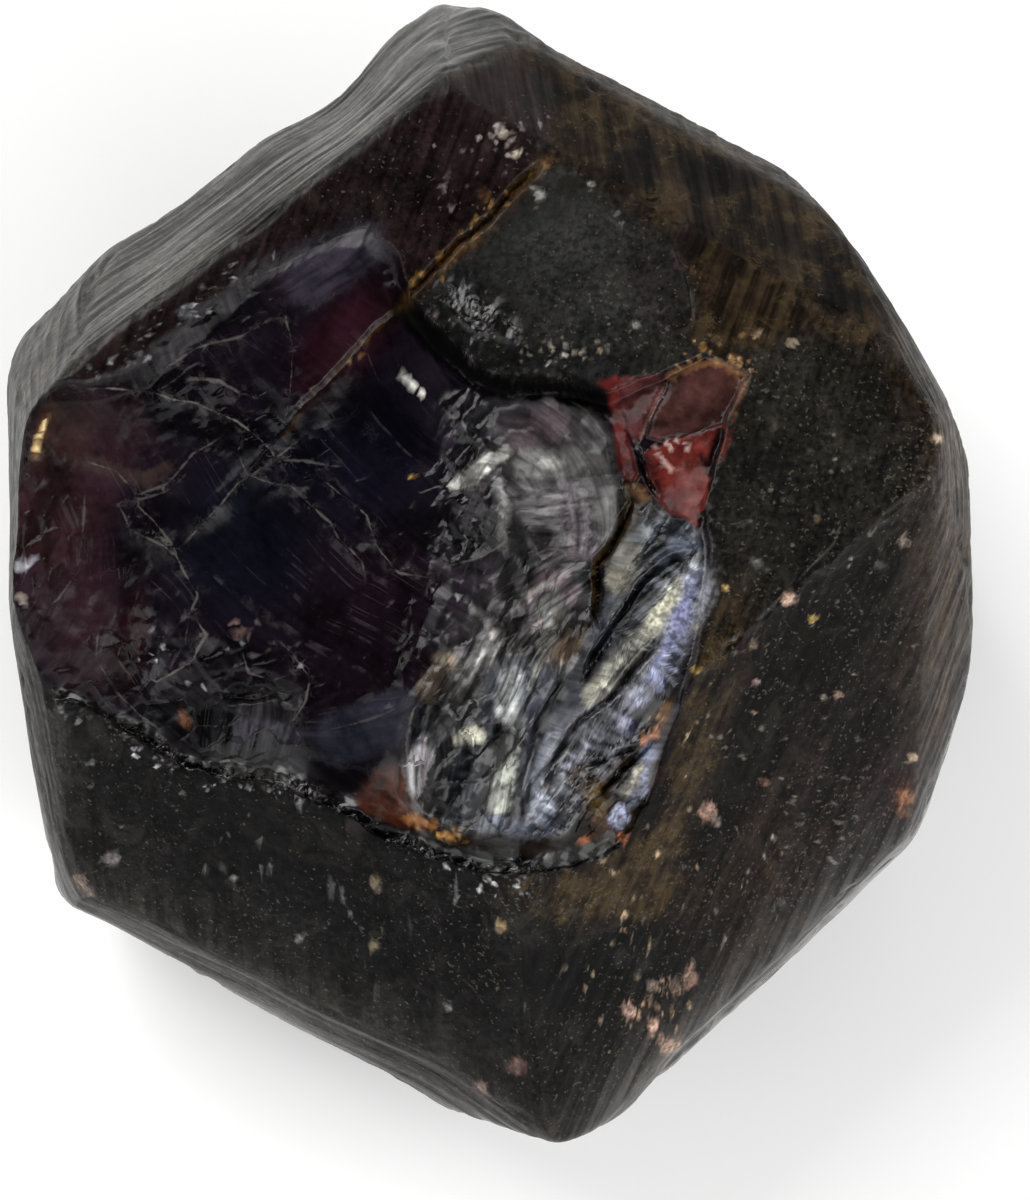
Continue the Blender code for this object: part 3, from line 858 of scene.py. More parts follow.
def red_facets(u0, v0):
    """Flat-sided splinters at the plateau's corner."""
    u = u0 + 1.5 * fbm2(u0, v0, 12, 341, 3)
    v = v0 + 1.5 * fbm2(u0, v0, 12, 342, 3)
    out = np.zeros(len(u), np.float32)
    for poly, (cu, cv), base, gu, gv in FACETS:
        m = region(u, v, poly, 2.4)
        out += m * (base + gu * (u - cu) + gv * (v - cv)
                    + 1.1 * fbm2(u0, v0, 9, 343, 2)
                    + 1.2 * noise2(u0 / 26, v0 / 26, 344))
    return out


def carve(p, w):
    """Cut the break into the top, and return masks for the looks."""
    height = floor_surface()
    n = len(p)
    spall = np.zeros(n, np.float32)
    crack = np.zeros(n, np.float32)
    wx = p[:, 0] + 5.5 * fbm2(p[:, 0], p[:, 1], 34, 51, 4, 0.6)
    wy = p[:, 1] + 5.5 * fbm2(p[:, 0], p[:, 1], 34, 52, 4, 0.6)
    up = p[:, 2] > -60
    pick = np.where(up & (p[:, 0] < 330) & (p[:, 1] < 470)
                    & (p[:, 1] > -420))[0]
    lo = RIM_PLAN.min(0) - 20; hi = RIM_PLAN.max(0) + 20
    pick = pick[(p[pick, 0] > lo[0]) & (p[pick, 0] < hi[0])
                & (p[pick, 1] > lo[1]) & (p[pick, 1] < hi[1])]
    loop = np.vstack([RIM_PLAN, RIM_PLAN[:1]])
    d, _, _ = line_distance(wx[pick], wy[pick], loop)
    hit = inside(wx[pick], wy[pick], RIM_PLAN)
    sd = np.where(hit, d, -d)
    pick = pick[sd > -3]; sd = sd[sd > -3]
    x, y, z = p[pick].T
    h = height(x, y)
    u, v, add, cr = broken_floor(x, y, np.minimum(h, z))
    fade = smooth(0, 14, sd)
    rib = shell_ribs(u, v) + shards(u, v)[0]
    h = h + (add + rib + hollows(u, v)) * fade
    h = h + red_facets(u, v)
    gentle = smooth(410, 370, u) * smooth(420, 380, v)
    rimrough = smooth(18, 4, sd) * smooth(690, 730, v) * smooth(560, 520, u)
    flakes = 1 - np.abs(fbm2(u, v, 13, 331, 3, 0.6)) * 2
    h = h - rimrough * (5.0 * np.clip(flakes, 0, 1) + 1.0)
    wall = smooth(-1.0, 4.5 + 30 * gentle, sd)
    newz = np.where(h < z, z + (h - z) * wall, z)
    cut = (z - newz)
    p[pick, 2] = newz
    spall[pick] = smooth(0.5, 4.0 + 5.0 * gentle, cut)
    crack[pick] = cr * smooth(0.5, 4.0, cut)
    g = island_crack(p)
    top = np.where(p[:, 2] > 150)[0]
    u, v = sheet(p[top])
    m = region(u, v, CLIFF, 6.0) * (1 - spall[top])
    slope = region(u, v, BEVEL, 9.0) * (1 - spall[top])
    flakes = 1 - np.abs(fbm2(u, v, 17, 361, 3, 0.55)) * 2
    g[top] += m * (1.0 + 3.6 * np.clip(flakes, 0, 1))
    g[top] += slope * (2.8 + 1.6 * fbm2(u, v, 26, 362, 3)
                       + 1.4 * np.clip(flakes, 0, 1))
    edge, _, _ = line_distance(u, v, ISLAND + [ISLAND[0]], reach=40)
    g[top] += ((1 - spall[top]) * 1.5 * smooth(9, 0, edge)
               * (0.5 + fbm2(u, v, 14, 363, 3)))
    p[:, 2] -= g * (1 - spall)
    return spall, crack


def main_mesh():
    n = 712
    p, w, quads, ring = build_form(n)
    spall, crack = carve(p, w)
    centre = np.array([[0.0, 0.0, -HALF_THICK]])
    pos = (np.vstack([p, centre]) + SHIFT) * UNIT
    pos[:, 2] = np.maximum(pos[:, 2], 0.0)
    c = len(pos) - 1
    nxt = np.roll(ring, -1)
    fan = np.stack([np.full(len(ring), c), nxt, ring], 1)
    a, b, cc, dd = quads.T
    tris = np.vstack([np.stack([a, b, cc], 1), np.stack([a, cc, dd], 1), fan])
    mesh = bpy.data.meshes.new("garnet_crystal_grown")
    mesh.vertices.add(len(pos))
    mesh.vertices.foreach_set("co", pos.astype(np.float32).ravel())
    mesh.loops.add(tris.size)
    mesh.loops.foreach_set("vertex_index", tris.astype(np.int32).ravel())
    mesh.polygons.add(len(tris))
    mesh.polygons.foreach_set("loop_start",
                              np.arange(0, tris.size, 3, dtype=np.int32))
    mesh.update(calc_edges=True)
    for name, values in (("spall", spall), ("crack", crack)):
        at = mesh.attributes.new(name, "FLOAT", "POINT")
        at.data.foreach_set("value", np.append(values, 0).astype(np.float32))
    ob = bpy.data.objects.new("garnet_crystal_look", mesh)
    bpy.context.collection.objects.link(ob)
    mod = ob.modifiers.new("thin", "DECIMATE")
    mod.ratio = min(1.0, 196000 / len(tris))
    dg = bpy.context.evaluated_depsgraph_get()
    thin = bpy.data.meshes.new_from_object(ob.evaluated_get(dg))
    ob.modifiers.clear()
    ob.data = thin
    bpy.data.meshes.remove(mesh)
    thin.name = "garnet_crystal_look"
    return ob



# ---------------------------------------------------------------- colouring
def lin(r, g, b):
    c = np.array([r, g, b], float) / 255.0
    return np.where(c <= 0.04045, c / 12.92, ((c + 0.055) / 1.055) ** 2.4)


DEPTH = 0.20


class Paint:
    """Colour, roughness, gloss and dirt, kept at each point of the skin."""

    def __init__(self, n):
        self.tone = np.zeros((n, 3))
        self.rough = np.full(n, 0.3)
        self.gloss = np.full(n, 0.4)
        self.bump = np.full(n, 0.5)
        self.ochre = np.zeros(n)
        self.lint = np.zeros(n)
        self.streak = np.zeros(n)

    def lay(self, mask, tone=None, rough=None, gloss=None, bump=None,
            ochre=None, lint=None, streak=None):
        m = np.clip(np.asarray(mask, float), 0, 1)
        if tone is not None:
            self.tone += (np.asarray(tone) * DEPTH - self.tone) * m[:, None]
        for name, value in (("rough", rough), ("gloss", gloss),
                            ("bump", bump), ("ochre", ochre),
                            ("lint", lint), ("streak", streak)):
            if value is not None:
                a = getattr(self, name)
                a += (value - a) * m


def face_weights(p):
    d = p / np.linalg.norm(p, axis=1, keepdims=True)
    _, w = worn_form(d, 0.10)
    return w


# Outlines on the sheet, used for both looks and relief.
ISLAND = [(548, 160), (524, 178), (500, 205), (470, 236), (440, 262),
          (414, 290), (414, 300), (443, 329), (484, 370), (509, 378),
          (547, 372), (605, 391), (650, 372), (680, 345), (690, 300),
          (676, 250), (650, 225), (622, 212), (600, 190), (572, 172)]
ISLAND_FLAT = [(548, 178), (520, 196), (496, 226), (472, 252), (486, 280),
               (508, 296), (524, 326), (556, 344), (600, 352), (646, 348),
               (676, 330), (684, 296), (668, 262), (640, 244), (622, 222),
               (598, 206), (570, 186)]
PURPLE_BAND = [(438, 84), (480, 66), (520, 62), (556, 80), (556, 110),
               (549, 150), (528, 172), (500, 200), (462, 236), (415, 285),
               (397, 307), (338, 369), (300, 400), (283, 430), (276, 400),
               (250, 345), (160, 366), (90, 386), (62, 384), (120, 330),
               (200, 270), (280, 210), (360, 146)]
BROWN_BAND = [(556, 78), (640, 96), (720, 140), (800, 190), (850, 245),
              (890, 300), (905, 340), (860, 340), (800, 330), (760, 345),
              (720, 350), (695, 340), (690, 290), (672, 240), (640, 215),
              (606, 186), (560, 160), (548, 150)]
RED_CHIP = [(346, 826), (352, 800), (372, 776), (392, 764), (404, 770),
            (408, 792), (418, 814), (430, 828), (424, 836), (396, 836),
            (366, 832)]
SHELL_ONE = [(497, 410), (526, 392), (559, 391), (592, 408), (614, 440),
             (622, 498), (610, 542), (596, 566), (560, 556), (530, 552),
             (505, 545), (496, 510), (492, 486), (470, 494), (456, 488),
             (476, 468), (490, 446)]
SHELL_LOW = [(505, 545), (530, 552), (560, 556), (596, 566), (596, 620),
             (574, 650), (560, 700), (530, 760), (516, 830), (470, 836),
             (424, 816), (404, 790), (406, 745), (420, 700), (432, 672),
             (448, 650), (470, 640), (480, 616), (502, 596), (494, 570)]
HACKLED = [(440, 540), (500, 540), (506, 600), (476, 650), (440, 668),
           (424, 640), (440, 600)]
LONG_RIDGE = [(690, 520), (704, 548), (700, 600), (684, 664), (668, 700),
              (634, 740), (600, 790), (566, 836), (528, 838), (530, 800),
              (556, 752), (584, 712), (618, 660), (606, 610), (622, 580),
              (646, 545), (642, 510), (664, 506)]
LEFT_PURPLE = [(14, 440), (60, 400), (96, 392), (140, 404), (150, 440),
               (120, 480), (110, 540), (120, 600), (110, 690), (60, 694),
               (30, 640), (10, 560), (8, 500)]
BROWN_PATCH = [(530, 866), (600, 858), (648, 836), (668, 790), (690, 700),
               (706, 640), (730, 660), (716, 760), (694, 838), (676, 890),
               (640, 916), (590, 930), (540, 918), (504, 896)]


STROKES_SHADE = [(402, 304), (434, 338), (472, 372), (506, 387), (548, 385),
                 (598, 400)]


def paint(p, normal, spall, crack):
    n = len(p)
    w = face_weights(p)
    idx = w.argmax(1)
    u, v = sheet(p)
    P = Paint(n)

    def on(*names):
        return w[:, [NAMES.index(k) for k in names]].sum(1)

    wu = u + 5 * fbm2(u, v, 50, 81, 3)
    wv = v + 5 * fbm2(u, v, 50, 82, 3)
    seen = smooth(-120, -20, p[:, 2])
    facing = smooth(0.0, 0.10, normal @ np.array([0.0, -SL, CL]))

    def area(poly, soft=6.0, grow=0.0):
        return region(wu, wv, poly, soft, grow)

    # ---- the whole skin first
    skin = lin(60, 57, 52)
    P.lay(np.ones(n), tone=skin, rough=0.42, gloss=0.07, bump=0.5, ochre=0.1,
          lint=0.5, streak=0.35)
    # underside and girdle
    P.lay(1 - seen, tone=lin(46, 40, 36), rough=0.5, gloss=0.4, bump=0.7,
          ochre=0.25, lint=0.3, streak=0.6)
    seen = seen * facing
    P.lay(on("lower_left"), tone=lin(28, 28, 30), rough=0.55, gloss=0.02,
          streak=0.22, lint=0.45, ochre=0.02)
    P.lay(on("lower_right"), tone=lin(28, 23, 20), rough=0.5, gloss=0.03,
          streak=0.5, lint=0.5, ochre=0.15)
    P.lay(on("upper_left", "left_upper"), tone=lin(96, 90, 82), rough=0.42,
          gloss=0.13, streak=1.0, lint=0.5, ochre=0.08)
    P.lay(on("left_upper"), tone=lin(82, 73, 64), gloss=0.055)
    P.lay(on("head"), tone=lin(74, 68, 62), rough=0.36, gloss=0.36,
          streak=0.7, lint=0.3, ochre=0.05)
    P.lay(on("upper_right", "brow"), tone=lin(64, 52, 38), rough=0.5,
          gloss=0.014, streak=0.8, lint=0.4, ochre=0.6)
    P.lay(on("right_upper", "right", "right_lower"), tone=lin(88, 68, 48),
          rough=0.42, gloss=0.04, streak=1.0, lint=0.6, ochre=0.25)
    P.lay(on("foot_right"), tone=lin(96, 80, 64), rough=0.45, gloss=0.5,
          streak=0.8, lint=0.3, ochre=0.2)
    P.lay(on("foot_left", "left_lower"), tone=lin(72, 66, 60), rough=0.5,
          gloss=0.035, streak=1.0, lint=0.5, ochre=0.08)
    P.lay(on("foot_left"), tone=lin(60, 55, 50))
    P.lay(zone(wu, wv, 105, 305, 46, 36, -35, 0.6) * seen,
          tone=lin(80, 75, 68))
    P.lay(zone(wu, wv, 915, 385, 28, 44, 20, 0.6) * seen,
          tone=lin(62, 49, 36))

    # ---- top face
    P.lay(area(PURPLE_BAND) * seen, tone=lin(50, 34, 36), rough=0.36,
          gloss=0.06, streak=0.6, ochre=0.05, lint=0.3)
    P.lay(area(BROWN_BAND, 16) * seen, tone=lin(60, 47, 34), rough=0.46,
          gloss=0.03, streak=0.85, ochre=0.55, lint=0.2)
    P.lay(zone(wu, wv, 732, 306, 48, 34, 0, 0.6) * seen, tone=lin(92, 72, 52),
          ochre=0.62)
    for cu, cv, ru_, rv_ in ((720, 178, 30, 16), (690, 244, 24, 17),
                             (638, 166, 14, 24), (776, 236, 24, 14),
                             (836, 300, 22, 14)):
        P.lay(zone(wu, wv, cu, cv, ru_, rv_, 0, 0.6) * seen * 0.85,
              tone=lin(30, 23, 22), ochre=0.12)
    P.lay(area(ISLAND, 4) * seen, tone=lin(66, 64, 58), rough=0.45,
          gloss=0.10, streak=0.15, ochre=0.25, lint=0.25)
    P.lay(area(ISLAND_FLAT, 8) * seen, tone=lin(70, 70, 69), rough=0.42,
          gloss=0.10, streak=0.1, ochre=0.02, lint=0.15)
    P.lay(zone(wu, wv, 654, 282, 26, 62, 10, 0.5) * seen, tone=lin(62, 56, 57))
    P.lay(area(BROWN_PATCH, 14) * seen * (1 - spall), tone=lin(58, 45, 31),
          rough=0.45, ochre=0.75, streak=0.7)
    P.lay(zone(wu, wv, 610, 886, 74, 34, -6, 0.6) * seen * (1 - spall),
          tone=lin(68, 52, 36), ochre=0.8)
    P.lay(zone(wu, wv, 716, 690, 24, 110, -12, 0.6) * seen * (1 - spall),
          tone=lin(62, 50, 38), ochre=0.6, streak=0.9)
    P.lay(zone(wu, wv, 640, 952, 60, 24, -20, 0.6) * seen,
          tone=lin(20, 19, 20), ochre=0.05)
    P.lay(zone(wu, wv, 800, 850, 130, 60, 42, 0.6) * seen, lint=0.75,
          tone=lin(58, 46, 40), ochre=0.3)
    # purple blush low on the right
    P.lay(zone(u, v, 866, 790, 60, 100, 10, 0.5) * seen, tone=lin(44, 34, 34))
    P.lay(zone(u, v, 905, 800, 14, 22, 0, 0.5) * seen, tone=lin(92, 56, 40),
          ochre=0.3)
    # dark smooth bottom
    P.lay(zone(u, v, 566, 978, 52, 36, -20, 0.5) * seen, tone=lin(10, 9, 9),
          lint=0.1, ochre=0.0)

    # dirt lies thicker in some places
    P.lint += 0.35 * (fbm2(u, v, 120, 351, 3) + 0.15) * seen
    P.lay(zone(u, v, 700, 900, 110, 80, 30, 0.6) * seen, lint=0.62)
    P.lay(zone(u, v, 840, 640, 70, 120, -10, 0.6) * seen, lint=0.6)
    P.lay(zone(u, v, 620, 300, 80, 60, 0, 0.6) * seen, lint=0.6)

    cliff = region(wu, wv, CLIFF, 5.0) * seen * (1 - spall)
    P.lay(region(wu, wv, BEVEL, 6.0) * seen * (1 - spall),
          tone=lin(46, 46, 46), rough=0.4, gloss=0.08, bump=1.0, lint=0.4,
          ochre=0.05, streak=0.1)
    P.lay(cliff, tone=lin(40, 36, 38), rough=0.30, gloss=0.2, bump=1.0,
          lint=0.7, ochre=0.05, streak=0.0)

    # ---- the break
    S = spall
    P.lay(S, tone=lin(36, 27, 40), rough=0.12, gloss=0.13, bump=0.35,
          streak=0.4, ochre=0.02, lint=0.03)
    P.lay(S * smooth(440, 400, u), gloss=0.055, streak=0.14)
    P.lay(S * zone(u, v, 350, 450, 80, 70, 0, 0.6), tone=lin(27, 25, 42))
    P.lay(S * smooth(800, 822, v), gloss=0.04, tone=lin(52, 42, 36))
    P.lay(S * area(LEFT_PURPLE, 16), tone=lin(76, 50, 60), rough=0.16)
    P.lay(S * zone(u, v, 48, 520, 40, 44, 0, 0.5), tone=lin(88, 56, 62),
          gloss=0.06)
    P.lay(S * zone(u, v, 66, 434, 26, 30, 0, 0.5), tone=lin(92, 62, 60),
          gloss=0.08)
    P.lay(S * zone(u, v, 345, 340, 34, 66, -38, 0.5), tone=lin(62, 28, 40))
    P.lay(S * zone(u, v, 322, 255, 62, 36, 30, 0.5), tone=lin(66, 56, 66),
          gloss=0.16, streak=0.7)
    P.lay(S * zone(u, v, 132, 640, 16, 50, -8, 0.5), tone=lin(56, 26, 34))
    P.lay(S * zone(u, v, 240, 540, 60, 70, 0, 0.6), tone=lin(25, 27, 42))
    P.lay(S * zone(u, v, 390, 640, 76, 90, 0, 0.6), tone=lin(40, 25, 38))
    P.lay(S * zone(u, v, 230, 740, 90, 50, -20, 0.6), gloss=0.04,
          tone=lin(48, 46, 50), streak=0.8)
    P.lay(S * zone(u, v, 110, 430, 110, 60, 0, 0.6), gloss=0.04)
    P.lay(S * zone(u, v, 90, 640, 80, 60, 0, 0.6), gloss=0.05)
    P.lay(zone(u, v, 250, 262, 110, 44, 40, 0.5) * seen, gloss=0.08)
    brow_line = [(58, 396), (110, 352), (168, 308), (230, 268), (300, 232),
                 (350, 206)]
    bd, _, _ = line_distance(wu, wv, brow_line, reach=60)
    P.lay(np.exp(-(bd / 24) ** 2) * seen * smooth(0.2, 0.8, S),
          tone=lin(46, 36, 40), gloss=0.025)
    P.lay(S * area(HACKLED, 10), tone=lin(58, 50, 60), rough=0.2, gloss=0.12)
    # silvery shells and the long ridge: their pale tone is painted reflection, laid on top of their gloss
    P.lay(S * area(SHELL_ONE, 5), tone=lin(80, 77, 78), rough=0.34,
          gloss=0.13, bump=0.6, streak=0.55)
    P.lay(S * area(SHELL_LOW, 5), tone=lin(68, 69, 71), rough=0.32,
          gloss=0.13, bump=0.8, streak=0.9)
    P.lay(S * zone(u, v, 520, 660, 70, 70, 0, 0.4), tone=lin(66, 64, 62),
          rough=0.32, bump=1.0)
    P.lay(S * area(LONG_RIDGE, 4), tone=lin(96, 96, 104), rough=0.26,
          gloss=0.24, bump=0.6, streak=0.7)
    P.lay(S * zone(u, v, 625, 792, 40, 40, 0, 0.4), tone=lin(74, 54, 42),
          rough=0.3, ochre=0.5, lint=0.4)
    P.lay(S * zone(u, v, 660, 720, 13, 22, 0, 0.5), tone=lin(66, 42, 28),
          ochre=0.4)

    for poly, tone in ((RED_STRIP, (152, 62, 58)), (RED_BLOCK, (160, 92, 92)),
                       (RED_SLAB, (120, 77, 72)), (RED_WEDGE, (184, 76, 68)),
                       (RED_CHIP, (104, 54, 36))):
        P.lay(region(u, v, poly, 2.0) * seen, tone=lin(*tone), rough=0.16,
              gloss=0.06, bump=0.7, streak=0.0, ochre=0.0, lint=0.0)
        P.tone *= (1 + region(u, v, poly, 2.0) * seen
                   * 0.75 * fbm2(u, v, 8, 97, 3))[:, None]
    order_u = np.argsort(u)
    sorted_u = u[order_u]
    ru = u + 1.6 * noise2(u / 3.5, v / 3.5, 95)
    rv = v + 1.6 * noise2(u / 3.5, v / 3.5, 96)
    for cu, cv, size, tone in SPOTS:
        lo, hi = np.searchsorted(sorted_u, (cu - 2 * size - 3,
                                            cu + 2 * size + 3))
        k = order_u[lo:hi]
        k = k[(np.abs(v[k] - cv) < 2 * size + 3) & (seen[k] > 0.5)]
        q = np.hypot(ru[k] - cu, rv[k] - cv) / size
        m = smooth(1.25, 0.75, q)
        P.tone[k] += (lin(*tone) * 0.5 - P.tone[k]) * m[:, None]
        P.rough[k] += (0.6 - P.rough[k]) * m
        P.gloss[k] += (0.15 - P.gloss[k]) * m
        P.ochre[k] *= 1 - m

    # a dark band along the broken rim: painted shade among its rough flakes
    rim_line = [(r[0], r[1]) for r in RIM[:13]]
    rd, _, _ = line_distance(wu, wv, rim_line, reach=40)
    rim_m = smooth(15, 7, rd + 5 * fbm2(u, v, 16, 371, 2)) * seen
    P.lay(rim_m, tone=lin(22, 19, 21), bump=1.0, streak=0.0)
    rim_m *= S
    P.lay(rim_m, rough=0.24, gloss=0.06, lint=0.5)
    P.lay(rim_m * smooth(0.05, 0.3, fbm2(u, v, 9, 373, 2)), gloss=0.45)
    # painted shade deep in the cracks
    P.lay(crack * 0.9, tone=lin(8, 7, 7), gloss=0.15, rough=0.5)
    stroke_paint(P, u, v, seen)
    # painted light and shade, flake by flake, in the break
    _, shade = shards(u, v)
    P.tone *= (1 + (shade - 1) * S)[:, None]
    # painted shade: a black band along the foot of the plateau's wall
    near_wall, _, _ = line_distance(u, v, STROKES_SHADE, reach=20)
    P.lay(smooth(15, 9, near_wall + 7 * fbm2(u, v, 10, 372, 2)),
          tone=lin(14, 12, 13), gloss=0.01, rough=0.6, streak=0.0, ochre=0.0)
    P.lay(smooth(8, 4, near_wall + 7 * fbm2(u, v, 10, 372, 2)),
          tone=lin(4, 4, 4), gloss=0.0, bump=0.2, lint=0.0)
    # gold along the straight crack and the island's edge
    for line, width, amount in ((ISLAND_CRACK, 6, 0.8), (
            [(545, 160), (500, 200), (415, 285), (397, 307), (338, 369),
             (307, 407), (283, 438)], 3, 0.6)):
        if line is ISLAND_CRACK:
            d, side, t = crack_course(u, v)
            beside = np.abs(d * side - 5.0 - 4.0 * fbm2(u, v, 16, 92, 2))
            d = np.where(side == 0, 1e6, beside)
        else:
            d, side, t = line_distance(wu, wv, line, reach=40)
        g = np.exp(-(d / width) ** 2) * amount * seen
        P.lay(g * (0.4 + 0.6 * smooth(-0.2, 0.3, fbm2(u, v, 18, 91, 2))),
              tone=lin(128, 88, 42), ochre=0.5, rough=0.6, gloss=0.03)
    return P, idx, u, v, seen
